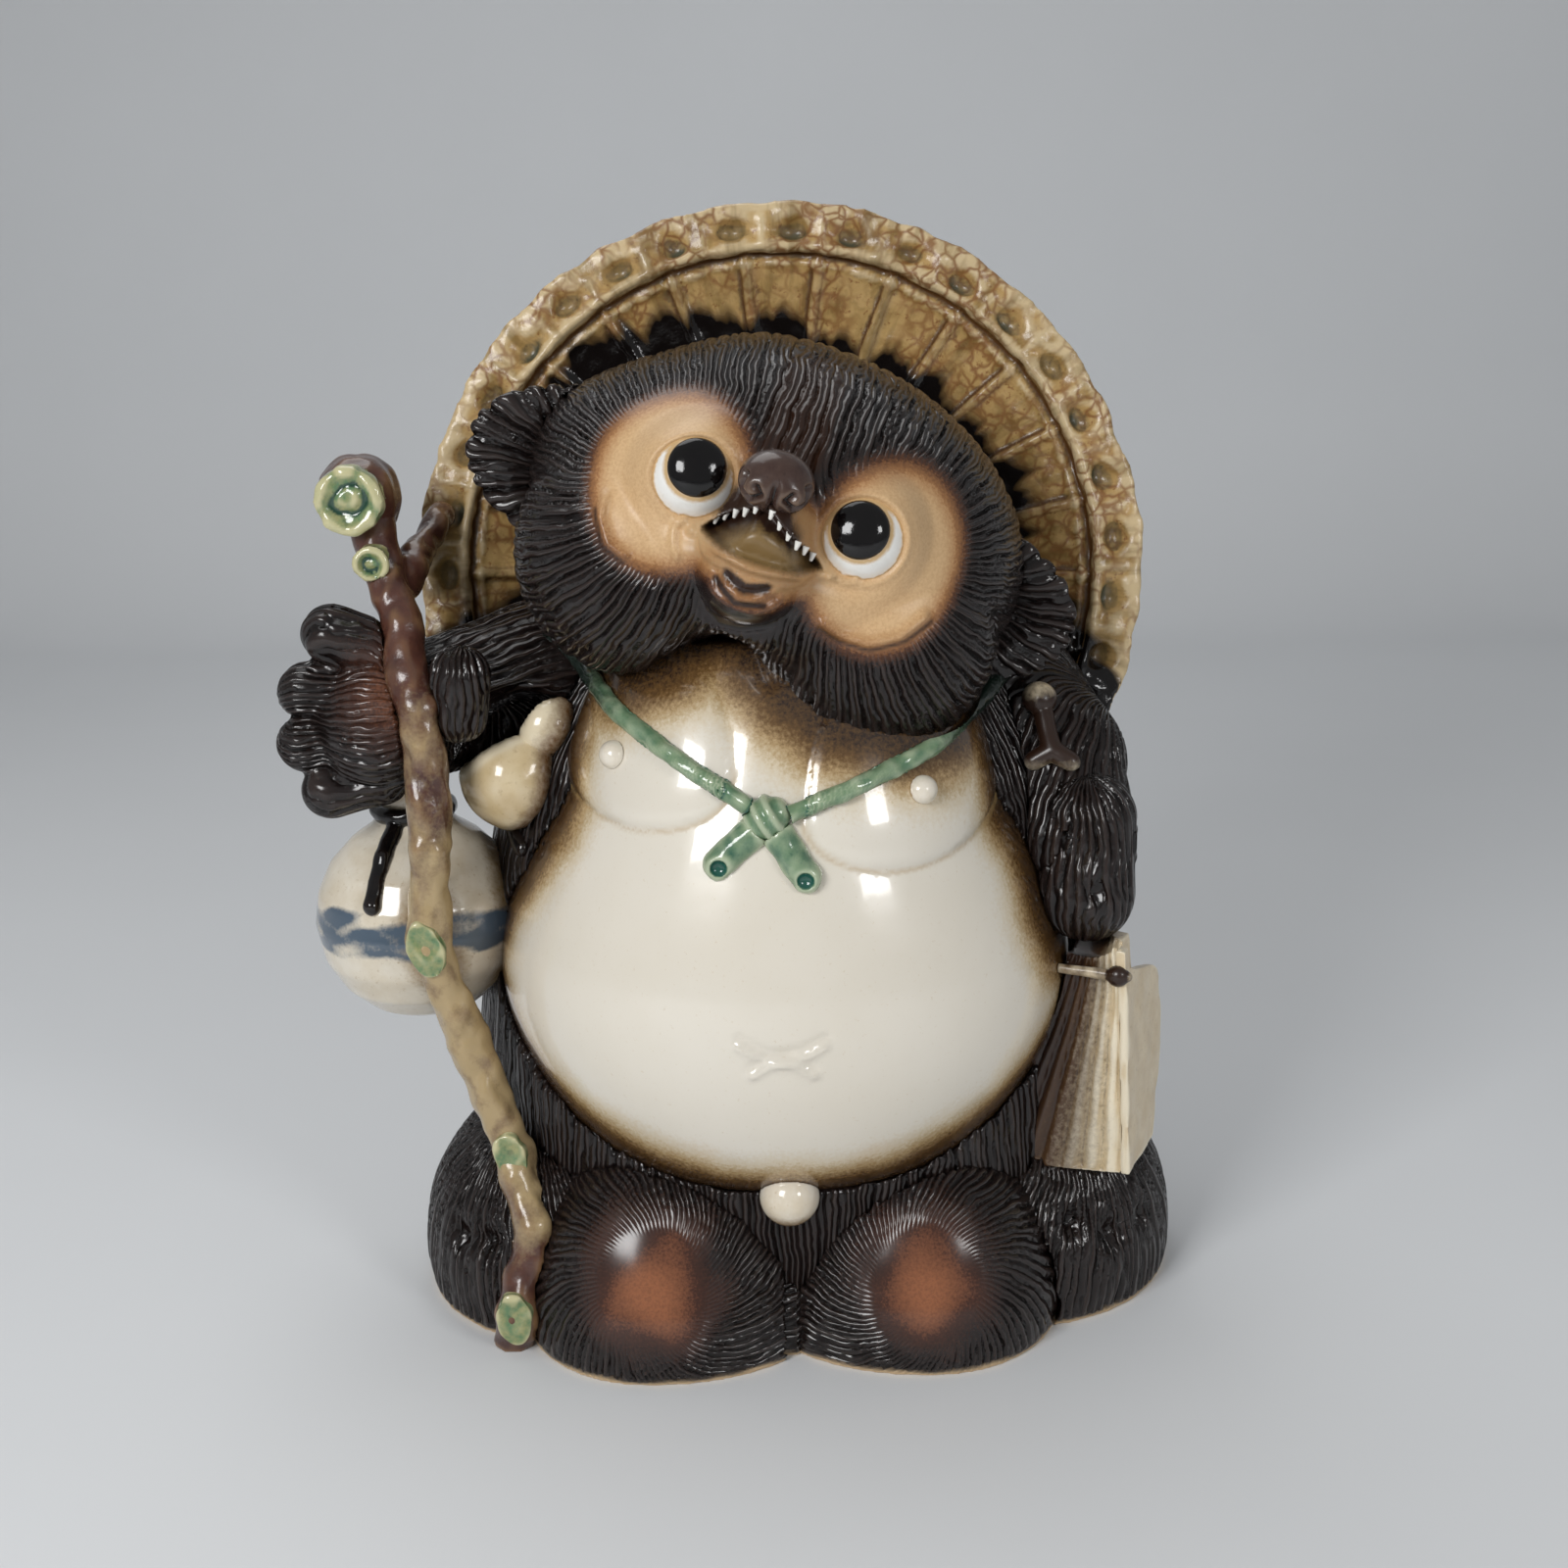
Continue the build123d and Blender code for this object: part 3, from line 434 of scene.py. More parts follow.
for name, (colours, (dullness, coat, cloud_size, bump)) in GLAZES.items():
    ground, clouded, thinned, pool_and_shade, freckled, washed = colours
    noises = [("cloud", cloud_size, 4, 0.6), ("stipple", 1.4, 3, 0.7)]
    glazes[name], tree, shader, fields = start_material(name, ("thin", "pool", "wash"), noises)
    sprayed = fuzz(tree, fields, "pool", "wash")
    glaze_coats = (
        (fields["cloud"], 0.35, 0.65, 1, clouded),
        (fields["stipple"], 0.6, 0.74, 0.5, freckled),
        (fields["thin"], 0, 1, 1, thinned),
        (sprayed["pool"], 0.15, 0.85, 1, pool_and_shade),
        (sprayed["wash"], 0.2, 0.8, 1, washed),
    )
    grain = {"Height": fields["cloud"], "Strength": bump, "Distance": 0.0008}
    glaze_finish = {
        "Base Color": lay_coats(tree, ground, glaze_coats),
        "Roughness": dullness,
        "Coat Weight": coat,
        "Coat Roughness": 0.05,
        "Normal": add(tree, "Bump", grain).outputs[0],
    }
    fill(tree, shader, glaze_finish)
print(len(glazes), "small glazes")

# %% [markdown]
# ## Clay for the trunk
# The trunk is a hollow press-moulded shell, open below, that shows mostly from the sides and back. The
# solid has its form, but its triangles are too long to be combed. Subdividing them would keep their
# slivers, so the clay is melted instead: a voxel remesh makes one closed skin with even points, and a
# smooth modifier rubs it. Most pieces start so, from their solids or from balls. Sizes are in mm.

# %% Trunk clay
MM = 0.001


def cast(name):
    """Return a lump of clay with the form of a CAD node."""
    lump = bmesh.new()
    lump.from_mesh(nodes[name].data)
    bmesh.ops.remove_doubles(lump, verts=lump.verts, dist=1e-6)
    return lump


def melt(name, lumps, voxel, rounds=4):
    """Melt lumps into one closed skin with points about a voxel apart, and rub it smooth."""
    rough = set_down(name, lumps)
    melting = rough.modifiers.new("melting", "REMESH")
    melting.mode = "VOXEL"
    melting.voxel_size = voxel * MM
    melting.use_smooth_shade = True
    rubbing = rough.modifiers.new("rubbing", "SMOOTH")
    rubbing.factor = 0.5
    rubbing.iterations = rounds
    melted = rough.evaluated_get(bpy.context.evaluated_depsgraph_get())
    skin_mesh = bpy.data.meshes.new_from_object(melted)
    rough_mesh = rough.data
    bpy.data.objects.remove(rough)
    bpy.data.meshes.remove(rough_mesh)
    skin_mesh.materials.clear()
    return link(name, skin_mesh)


body = melt("body", cast("body_shell"), 1.8)
print("trunk clay", len(body.data.polygons), "faces")

# %% [markdown]
# ## Skin of the trunk
# Hand-pressed clay is never quite even. A displace modifier could show that, but every later step needs
# to know where the points are, so dents and ridges here are moves of the points themselves, along
# their normals, as a modelling tool would press them.


# %% Trunk skin
def skin(piece):
    """Return the points of a piece in mm and its normals."""
    points = np.empty(3 * len(piece.data.vertices))
    normals = np.empty_like(points)
    piece.data.vertices.foreach_get("co", points)
    piece.data.vertices.foreach_get("normal", normals)
    return points.reshape(-1, 3) / MM, normals.reshape(-1, 3)


def press(piece, points):
    """Move the points of a piece to new places in mm."""
    piece.data.vertices.foreach_set("co", (points * MM).ravel())
    piece.data.update()


def ease(start, end, values):
    """Go softly from 0 at one value to 1 at another, which may be the smaller one."""
    share = np.clip((values - start) / (end - start), 0, 1)
    return share * share * (3 - 2 * share)


def ripple(points, size):
    """Return a hand-made unevenness between -1 and 1 with waves of a size in mm."""
    x, y, z = points.T * (2 * pi / size)
    waves = np.sin(x + 1.7 * np.sin(0.6 * y + 0.3 * z)) + np.sin(1.1 * y + 1.3 * np.sin(0.7 * z))
    return (waves + np.sin(0.9 * z + 1.9 * np.sin(0.8 * x + 1))) / 3


body_points, body_normals = skin(body)
uneven = 0.8 * ripple(body_points, 46) * ease(2, 14, body_points[:, 2])
press(body, body_points + body_normals * uneven[:, None])
print("trunk uneven by", round(float(np.ptp(uneven)), 1), "mm")

# %% [markdown]
# ## Fur of the trunk
# The fur was combed downwards in long strands. Hair particles would look like real hair, not like
# combed clay, so furrows are pressed along lines of a constant angle about an axis, here the upright
# one, and they sway and vary in depth as a hand does. The comb also paints the masks that the fur
# glaze reads.

# %% Trunk fur
FINE_STRAND = 2.1  # mm between the strands drawn in the glaze; finer ones wouldn't show in the render
TRUNK_MIDDLE = (0, 3, 0)


def paint(piece, **masks):
    """Spray masks or vectors on the points of a piece for its material to read."""
    for name, values in masks.items():
        kind, field = ("FLOAT_VECTOR", "vector") if values.ndim == 2 else ("FLOAT", "value")
        layer = piece.data.attributes.get(name) or piece.data.attributes.new(name, kind, "POINT")
        layer.data.foreach_set(field, values.astype(np.float32).ravel())


def pole(points, centre, axis):
    """Return the angle round an axis, the distance along it and the distance from it."""
    axis = np.array(axis) / np.linalg.norm(axis)
    side = np.cross(axis, (0.31, 0.87, 0.11))
    side /= np.linalg.norm(side)
    away = points - np.array(centre)
    across, up = away @ side, away @ np.cross(axis, side)
    return np.arctan2(up, across), away @ axis, np.hypot(across, up)


def comb(piece, turn, along, strands, depth, weight, reach):
    """Comb strands into a piece by the angle across and the mm along them; reach is its radius in mm."""
    points, normals = skin(piece)
    uneven = ripple(points, 27)
    sway = 1.2 * np.sin(along / 14 + 3 * turn) + 1.6 * uneven
    sway += 1.4 * np.sin(round(0.31 * strands) * turn + 0.5)
    crest = np.abs(np.sin((strands * turn + sway) / 2))
    pressure = 0.75 + 0.25 * np.sin(along / 7 + round(0.43 * strands) * turn + 3 * uneven)
    furrow = weight * (1 - crest) ** 1.6 * pressure
    press(piece, points - normals * (depth * furrow)[:, None])
    lie = np.stack((np.cos(turn), np.sin(turn), 0 * turn), axis=1)
    fine = 0 * turn + round(2 * pi * reach / FINE_STRAND)
    paint(piece, furrow=furrow, crest=weight * crest**4, fur=weight + 0 * along, lie=lie, strands=fine)


turn, level, _ = pole(body_points, TRUNK_MIDDLE, (0, 0, 1))
outwards = (body_normals[:, :2] * (body_points[:, :2] - TRUNK_MIDDLE[:2])).sum(axis=1)
furred = (outwards > 0) * ease(1, 5, body_points[:, 2])
comb(body, turn, level, 104, 1.3, furred, 88)
print("fur on", round(float(furred.mean()), 2), "of the trunk's skin, inside and out")

# %% [markdown]
# ## Foot and fitting
# Before firing, the potter wipes the foot clean, or it would stick to the kiln shelf. That leaves a
# narrow band of pale clay with a wavy edge, and a mask by height gives it. Then the piece is dressed
# and set on the figure in place of its solid. All pieces end so, and one function does it.


# %% Trunk foot
def bare_foot(piece):
    """Mark the narrow band at the floor that was wiped clean of glaze."""
    points = skin(piece)[0]
    paint(piece, bare=1 - ease(0.9, 1.9, points[:, 2] + 0.4 * ripple(points, 17)))


def fit(piece, material, slot, *replaced):
    """Dress a finished piece and set it on the figure in place of its solids."""
    piece.data.materials.append(material)
    piece.data.shade_smooth()
    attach(piece, "root")
    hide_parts(*replaced)
    print(piece.name, len(piece.data.polygons), "faces")


bare_foot(body)
fit(body, fur_glaze, "dark_fur_glaze", "body_shell")

# %% [markdown]
# ## Clay for the head
# The head is a ball with full cheeks, rolled to the figure's left, with a short muzzle and a bridge to
# the nose. The solids of the head and the jaws could be melted as the trunk was, but the seams between
# them would show. Balls at the solids' own radii melt into one calm form that takes the face.

# %% Head clay
ROLL = radians(19.5)
HEAD = np.array((0, -22, 232))
ACROSS = np.array((cos(ROLL), 0, -sin(ROLL)))
UP = np.array((sin(ROLL), 0, cos(ROLL)))
BALLS = (
    ((0, 0, 0), (71, 60, 51)),  # skull
    ((-33, -20, -16), (35, 35, 35)),  # cheeks
    ((33, -20, -16), (35, 35, 35)),
    ((-4.5, -58, 3.5), (16.5, 17, 13.5)),  # muzzle
    ((-4.5, -56, -9), (13, 15, 10)),  # lower jaw
    ((-5.5, -54, 15), (9, 14, 10)),  # bridge of the nose
)
head_roll = Matrix.Rotation(ROLL, 4, "Y")


def ball(lumps, place, radii):
    """Add an oval ball to lumps of clay, by a matrix for its place and its radii in mm."""
    size = Matrix.Diagonal((*[radius * MM for radius in radii], 1))
    bmesh.ops.create_icosphere(lumps, subdivisions=5, radius=1, matrix=place @ size)


head_clay = bmesh.new()
for from_middle, radii in BALLS:
    in_head = head_roll @ Matrix.Translation(Vector(from_middle) * MM)
    ball(head_clay, Matrix.Translation(Vector(HEAD) * MM) @ in_head, radii)
head = melt("head", head_clay, 0.9, 6)
print("head clay", len(head.data.polygons), "faces")

# %% [markdown]
# ## Sockets and cheeks
# A sculptor works on the face by where a point lies across and up the face, and so does this lesson.
# First the big forms: a cleft under the chin between the cheeks, a slimmer brow on the right, and flat
# sockets that the eyes sit in. Their depth is taken from the eye solids, so that they can't drift.

# %% Sockets and cheeks
EYES = ((-25.5, 12.2), (19.9, 11.3))
SOCKET_DEPTH = 5.8


def band(distance, width):
    """Return a soft ridge profile across a line."""
    return np.exp(-((distance / width) ** 2))


points = skin(head)[0]
across, deep, up = (points - HEAD) @ ACROSS, points[:, 1] - HEAD[1], (points - HEAD) @ UP
front = ease(8, 26, -deep)
cleft = 15 * band(across + 3, 15) * ease(-20, -46, up) * ease(25, 5, deep)
slim = 4 * ease(-15, -50, across) * ease(8, 38, up)
points = points + np.outer(cleft - 0.7 * slim, UP) + np.outer(0.7 * slim, ACROSS)
for side, (x, z) in zip(("right", "left"), EYES):
    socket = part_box(f"{side}_eyeball")[0].y / MM + SOCKET_DEPTH
    flat = (1 - ease(11, 19, np.hypot(across - x, up - z))) * front
    points[:, 1] += flat * (socket - points[:, 1])
print("cleft", round(float(cleft.max()), 1), "mm and two sockets")

# %% [markdown]
# ## Mouth
# The mouth is a three-cornered opening: two upper edges rise from the corners to a peak under the nose,
# and the lower lip sags a little. It could be cut with a boolean, but a cut would leave hard, thin
# edges. A distance to its outline, with soft corners, lets it be pressed in with rounded lips.

# %% Mouth
CORNER_R, CORNER_L, PEAK = (-22, -0.4), (15, 0), (-6.5, 13.5)
SOFT = 1.1  # mm, rounding of the corners


def beyond(a, b):
    """Return the distance to the left of a line on the face."""
    run = np.array((b[0] - a[0], b[1] - a[1])) / np.hypot(b[0] - a[0], b[1] - a[1])
    return (up - a[1]) * run[0] - (across - a[0]) * run[1]


lip_drop = 0.4 - 0.8 * np.clip(1 - ((across + 4) / 18) ** 2, 0, 1)
under_lip = np.maximum(beyond(CORNER_R, PEAK), beyond(PEAK, CORNER_L))
mouth_edge = SOFT * np.logaddexp(under_lip / SOFT, (lip_drop - up) / SOFT)
mouth = 1 - ease(-0.9, 0.5, mouth_edge)
throat = ease(-8, -0.4, under_lip)
mouth_depth = (5 + 1.5 * throat) * (0.25 + 0.75 * ease(-23, -14, across) * ease(16, 8, across))
jaw = np.clip(1 - ((across + 4) / 12) ** 2 - ((up + 7.5) / 6.5) ** 2, 0, 1)
print("mouth covers", int((mouth * front > 0.5).sum()), "points")

# %% [markdown]
# ## Lines of the face
# Lips, folds and creases were drawn into the clay with a rounded tool. Each is a broken line with a
# width and a height, positive for a raised fold and negative for a groove. A table of them is easier
# to compare with the photograph than many separate brush strokes would be.

# %% Face lines
LINES = (
    # height and half width in mm, then places across and up the face
    (1.8, 0.9, (CORNER_R, (-13, -1.1), (-5, -1.5), (5, -1.1), CORNER_L)),  # lower lip
    (-1.2, 0.9, ((-16, -2.8), (-5, -3.8), (7, -2.8))),  # groove below it
    (-1.6, 1.1, ((-11, -5), (-8.5, -7.2), (-5, -8.2), (-1.5, -7.4), (1, -5.6))),  # crescents of the jaw
    (-1.7, 1.2, ((-13, -6), (-11, -10), (-6, -12), (-1, -11.2), (3, -7.5))),
    (1.3, 1.0, ((-24.5, 2), (-26.3, -1), (-25.4, -5), (-23.4, -8))),  # folds at the corners
    (1.3, 1.0, ((15, 0), (19, -0.5), (21.5, 1), (21, 3.5))),
    (-1.2, 1.6, ((-16, -12), (-13, -19), (-8, -22), (-2, -21), (4, -17), (7, -12))),  # below the jaw
    (2.2, 1.1, ((-45.5, 0), (-45, -5), (-41, -10.5), (-36, -12))),  # folds of the cheeks
    (2.2, 1.1, ((17, -12), (23, -14), (30, -13.5), (37, -9.5), (42, -3))),
    (-1.0, 0.8, ((-6.6, 13), (-6.6, 19))),  # groove up to the nose
)


def stroke(across, up, line, width):
    """Return a soft ridge profile along a broken line drawn on a face of the clay."""
    near = np.full(len(across), 1e9)
    for (ax, az), (bx, bz) in zip(line, line[1:]):
        share = ((across - ax) * (bx - ax) + (up - az) * (bz - az)) / ((bx - ax) ** 2 + (bz - az) ** 2)
        share = np.clip(share, 0, 1)
        near = np.minimum(near, np.hypot(across - ax - share * (bx - ax), up - az - share * (bz - az)))
    return band(near, width)


eye_gap = np.minimum(*[np.hypot(across - x, up - z) for x, z in EYES])
tongue = stroke(across, up, ((-13, 3.5), (-5, 6.5), (5, 3)), 2.6)
upper_lip = stroke(across, up, (CORNER_R, (-6.5, 14), CORNER_L), 1.4)
rise = 1.1 * band(eye_gap - 11.6, 0.9) + 1.5 * np.sqrt(jaw)
rise += (1.5 * tongue - mouth_depth) * mouth + 1.1 * upper_lip * (1 - mouth)
for height, width, line in LINES:
    rise += height * stroke(across, up, line, width)
press(head, points + np.outer(rise * front, (0, -1, 0)))
print("face pressed, deepest", round(float((rise * front).min()), 1), "mm")

# %% [markdown]
# ## Fur of the head
# The fur runs outwards from the two cheek patches and leaves the patches, the muzzle and the chin bare.
# One pole can't give two such fans. But along such a strand the sum of the angles round both patch
# middles stays the same, so the comb turns with that sum.

# %% Head fur
PATCHES = ((-31, 9, 23, 26), (27, 7.5, 23, 27))  # middle across and up, then half width and half height


def oval(x, z, wide, tall):
    """Return the distance from a place on the face, as a share of an oval's radii."""
    return np.hypot((across - x) / wide, (up - z) / tall)


turn = sum(np.arctan2(across - x, up - z) for x, z, _, _ in PATCHES)
patch_gap = np.minimum(*[oval(*patch) for patch in PATCHES])
muzzle_gap = oval(-4.5, 1, 21, 17)
chin = 1 - ease(0.8, 1.3, oval(-4, -18, 11, 6))
clear = np.maximum(1 - ease(0.85, 1.12, patch_gap), np.maximum(1 - ease(0.9, 1.25, muzzle_gap), chin))
comb(head, turn, 34 * patch_gap, 47, 1.2, 1 - clear * front, 31)
print("bare face", round(float((clear * front).mean()), 2), "of the head")

# %% [markdown]
# ## Spray and painted shade of the head
# Tan was sprayed on the cheeks, more weakly on the muzzle and jaw, and olive in the mouth. Dark glaze
# was left or brushed in the crescents of the jaw, round the nose and up the brow. Painted shade darkens
# the lines below the cheek folds, the mouth's outline and the inside under its upper edges. Each is a
# mask, made from the same places and distances as the forms, so the colours can't slip off them.

# %% Head spray
# Lines just below the raised folds of the cheeks, where painted shade lies.
FOLD_LINES = (
    ((-47, -4), (-42.5, -12), (-36, -14)),
    ((17, -14), (23, -16), (31, -15.5), (39, -10.5), (44, -4)),
)
cheeks = (1 - ease(0.62, 1.1, patch_gap)) * front
snout = (1 - ease(0.8, 1.15, muzzle_gap)) * front * ease(-12, -5, up)
folds = sum(stroke(across, up, line, 0.8) for line in FOLD_LINES)
crescents = stroke(across, up, ((-10, -5.4), (-5, -7.4), (0, -5.8)), 1.7)
crescents += stroke(across, up, ((-12.5, -8), (-6, -12), (1, -10.5)), 1.0)
# Dark glaze in the crescents of the jaw, and painted shade under the cheek folds.
dark = 1.2 * crescents * jaw**0.3 + 0.75 * folds
dark += band(oval(-6, 16, 9, 8), 0.8)
dark += 0.8 * stroke(across, up, ((-13, 11), (-15.5, 7.5)), 3.4)
dark += 0.7 * stroke(across, up, ((-1, 11), (3, 8)), 2.6)
dark += 1 - ease(5, 12, np.abs(across + 4) + 0.6 * np.clip(24 - up, 0, 30))
# Painted shade: a dark line along the mouth's outline, and the inside darker under its upper edges and
# towards its right corner.
dark += 0.3 * band(mouth_edge, 0.9) + mouth * (0.55 * throat + 0.2 * ease(-4, -16, across))
paint(
    head,
    patch=np.maximum(np.maximum(cheeks, 0.75 * snout * (1 - chin)), 0.6 * np.sqrt(jaw) * front),
    olive=0.85 * mouth * front + 0.3 * snout,
    shadow=np.clip(dark, 0, 1) * front,
)
fit(head, fur_glaze, "dark_fur_glaze", "head_shell", "upper_jaw", "lower_jaw", "tongue")

# %% [markdown]
# ## Eyes
# The eyes are balls of white glaze with a thin tan line round the pupil and another at the lid, and a
# raised glossy black pupil that looks up. They could be spun from a profile; a ball, turned to the
# gaze and flattened for the pupil, is the same form with less work.

# %% Eyes
EYE_RADIUS, PUPIL_RADII, IRIS_LINE = 12.4, (7.5, 7.5, 3.4), 7.9


def drop_ball(name, middle, radii, turned):
    """Make an oval, turned ball of clay at a place in mm and return it as a piece."""
    clay = bmesh.new()
    ball(clay, Matrix.Translation(Vector(middle) * MM) @ turned, radii)
    return set_down(name, clay)


def search(points):
    """Return a search tree over points."""
    found = KDTree(len(points))
    for number, point in enumerate(points):
        found.insert(point, number)
    found.balance()
    return found


def gap(points, *pieces):
    """Return how far each point lies from the nearest skin of other pieces, in mm."""
    others = search(np.concatenate([skin(piece)[0][::2] for piece in pieces]))
    return np.array([others.find(point)[2] for point in points])


for side, (x, z), aside in zip(("right", "left"), EYES, (7, -4)):
    gaze = np.array((sin(radians(aside)), -1, sin(radians(17))))
    gaze /= np.linalg.norm(gaze)
    look = Vector(gaze).to_track_quat("Z", "Y").to_matrix().to_4x4()
    eye_middle = HEAD + ACROSS * x + UP * z
    eye_middle[1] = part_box(f"{side}_eyeball")[0].y / MM + EYE_RADIUS
    white = drop_ball(f"{side}_eye_white", eye_middle, (EYE_RADIUS, EYE_RADIUS, EYE_RADIUS), look)
    points = skin(white)[0]
    _, level, away = pole(points, eye_middle, gaze)
    lid = 1 - ease(0.5, 1.3, gap(points, head))
    paint(white, wash=np.clip(band(away - IRIS_LINE, 0.75) + lid, 0, 1) * (level > 0))
    fit(white, glazes["white_eye_glaze"], "white_glaze", f"{side}_eyeball")
    pupil = drop_ball(f"{side}_pupil_bead", eye_middle + gaze * 9.9, PUPIL_RADII, look)
    fit(pupil, glazes["black_gloss_glaze"], "black_glaze", f"{side}_pupil")

# %% [markdown]
# ## Nose
# The nose is a knob with two wings, two curled nostrils and a split below. It could be built from
# coils. As it is small and soft, a ball is subdivided once and the wings, curls and split are pressed
# into it. From here on, glaze also thins on ridges and pools in hollows: how far a point stands above
# its calmed neighbourhood says which.

# %% Nose
NOSE, NOSE_ROLL = np.array((1.1, -86.6, 251.8)), 0.26
WING, NOSTRIL = 5.72, ((7.8, 1), (8.2, -2.4), (5.4, -4.6), (3.2, -3), (4.4, -1.2))


def relief(piece, rounds):
    """Return how far each point stands above its calmed neighbourhood in mm."""
    points, normals = skin(piece)
    ends = np.empty(2 * len(piece.data.edges), dtype=np.int32)
    piece.data.edges.foreach_get("vertices", ends)
    a, b = ends.reshape(-1, 2).T
    count = len(points)
    shared = np.maximum(np.bincount(a, minlength=count) + np.bincount(b, minlength=count), 1)
    calm = points.copy()
    for _ in range(rounds):
        sums = [np.bincount(a, calm[b, k], count) + np.bincount(b, calm[a, k], count) for k in range(3)]
        calm = np.stack(sums, axis=1) / shared[:, None]
    return ((points - calm) * normals).sum(axis=1)


def break_glaze(piece, rounds, height):
    """Let the glaze thin on ridges and pool in hollows of a height in mm."""
    stand = relief(piece, rounds)
    paint(piece, thin=0.8 * ease(0.15 * height, height, stand), pool=ease(0.15 * height, height, -stand))


nose = drop_ball("nose_knob", NOSE, (9.6, 8.6, 8), Matrix.Rotation(radians(15), 4, "Y"))
finer = nose.modifiers.new("finer", "SUBSURF")
finer.levels = finer.render_levels = 1
finer_nose = nose.evaluated_get(bpy.context.evaluated_depsgraph_get())
finer_mesh = bpy.data.meshes.new_from_object(finer_nose)
nose.modifiers.clear()
nose.data = finer_mesh
points, normals = skin(nose)
sideways = (points - NOSE) @ (cos(NOSE_ROLL), 0, -sin(NOSE_ROLL))
upwards = (points - NOSE) @ (sin(NOSE_ROLL), 0, cos(NOSE_ROLL))
swell = -1.5 * band(sideways, 1) * ease(3, -2, upwards)
for sign in (-1, 1):
    swell += 1.4 * band(np.hypot(sideways - WING * sign, upwards + 2), 3.4)
    swell -= 2 * stroke(sideways * sign, upwards, NOSTRIL, 0.75)
press(nose, points + normals * (swell * ease(0.1, 0.5, -normals[:, 1]))[:, None])
break_glaze(nose, 10, 0.4)
fit(nose, glazes["brown_satin_nose_glaze"], "black_glaze", "nose")

# %% [markdown]
# ## Teeth
# The teeth are a row of tiny pinched cones hung from both upper edges of the mouth. An array modifier
# would space them evenly; these are listed one by one, so each has its own share of the way down from
# the peak. Each one is rooted in the foremost clay near it, so that none floats.

# %% Teeth
TEETH = ((CORNER_R, (0.12, 0.26, 0.4, 0.54, 0.67)), (CORNER_L, (0.1, 0.23, 0.36, 0.49, 0.61, 0.72)))
CONE = {"radius1": 0.95 * MM, "radius2": 0.4 * MM, "depth": 2.4 * MM}
head_points = skin(head)[0]
head_across, head_up = (head_points - HEAD) @ ACROSS, (head_points - HEAD) @ UP
teeth = bmesh.new()
for corner, shares in TEETH:
    for share in shares:
        x, z = (PEAK[k] + (corner[k] - PEAK[k]) * share for k in (0, 1))
        gum = head_points[np.hypot(head_across - x, head_up - z) < 2.2, 1].min()
        root = HEAD + ACROSS * x + UP * (z - 0.3)
        root[1] = gum + 1.7
        hang = Matrix.Translation(Vector(root) * MM) @ head_roll @ Matrix.Rotation(pi, 4, "X")
        bmesh.ops.create_cone(teeth, cap_ends=True, segments=12, matrix=hang, **CONE)
rims = [edge for edge in teeth.edges if len(edge.link_faces) == 2 and edge.calc_face_angle(0) > 0.9]
bmesh.ops.bevel(teeth, geom=rims, offset=0.2 * MM, segments=2, profile=0.5, affect="EDGES", material=-1)
fit(set_down("teeth_row", teeth), glazes["white_eye_glaze"], "white_glaze", "upper_teeth")

# %% [markdown]
# ## Ears
# The ears are round cups, crimped all round with the side of a tool. Crimps could be cut one by one; a
# deep, coarse comb that turns about the middle of the ear makes them all. Before that, the outer rim is
# drawn out and thinned, while the inner edge stays in the head.

# %% Ears
for side, sign in (("right", -1), ("left", 1)):
    ear = melt(f"{side}_ear_cup", cast(f"{side}_ear"), 0.75, 3)
    points = skin(ear)[0]
    ear_middle = HEAD + ACROSS * (60 * sign) + np.array((0, 2, 0)) - UP * 3
    turn, _, away = pole(points, ear_middle, (0, -1, 0))
    outward = (points - ear_middle) @ ACROSS * sign
    # The rim is drawn out and the cup thins towards it; the middle moves 3 mm forward and the rim 6 mm.
    taller = 0.14 * (points - ear_middle) @ UP
    cup = points + np.outer(taller, UP) + np.outer(14 * ease(4, 26, outward) - 4, ACROSS * sign)
    cup[:, 1] = -23 + (cup[:, 1] + 20) * (1 - 0.55 * ease(9, 24, away)) - 3 * ease(14, 24, away)
    press(ear, cup)
    comb(ear, turn, away, 28, 2.4, ease(6, 12, away), 16)
    fit(ear, fur_glaze, "dark_fur_glaze", f"{side}_ear")

# %% [markdown]
# ## Clay for arms, paws, feet, bags and tail
# These are lumps pressed in moulds and luted on, so they are melted in one loop from a table. The gourd
# hangs in front of the right sleeve, and a potter would thumb a hollow there for it to lie in. A
# boolean would leave a sharp cut; here the sleeve's front is pushed back in a soft oval.

# %% Limb clay
LIMBS = (
    # piece, solid, a point on the comb's axis, that axis, strands, depth and voxel in mm
    ("right_sleeve", "right_arm", (-54, 4, 190), (-44, -28, -9), 38, 1.2, 1.1),
    ("left_sleeve", "left_arm", (78, -8, 0), (0.1, 0, 1), 40, 1.2, 1.1),
    ("right_hand", "right_paw", (-104, -30, 181), (-1, 0, 0), 40, 0.9, 0.9),
    ("right_thumb_tip", "right_thumb", (-89, -43, 189), (0.1, 0, 1), 18, 0.7, 0.8),
    ("left_hand", "left_paw", (86, -37, 138), (0, 0, 1), 24, 0.9, 0.9),
    ("right_foot_mound", "right_foot", (-60, -18, 0), (-0.25, -0.25, 1), 84, 1.3, 1.2),
    ("left_foot_mound", "left_foot", (66, -10, 0), (0.25, -0.25, 1), 84, 1.3, 1.2),
    ("right_bag_mound", "right_bag", (-37.7, -60, 25.5), (0, -1, 0.1), 66, 1.0, 1.0),
    ("left_bag_mound", "left_bag", (39.1, -60, 24.3), (0, -1, 0.1), 66, 1.0, 1.0),
    ("tail_mound", "tail", (6, 66, 0), (0, 0, 1), 40, 1.2, 1.1),
)
limbs = {}
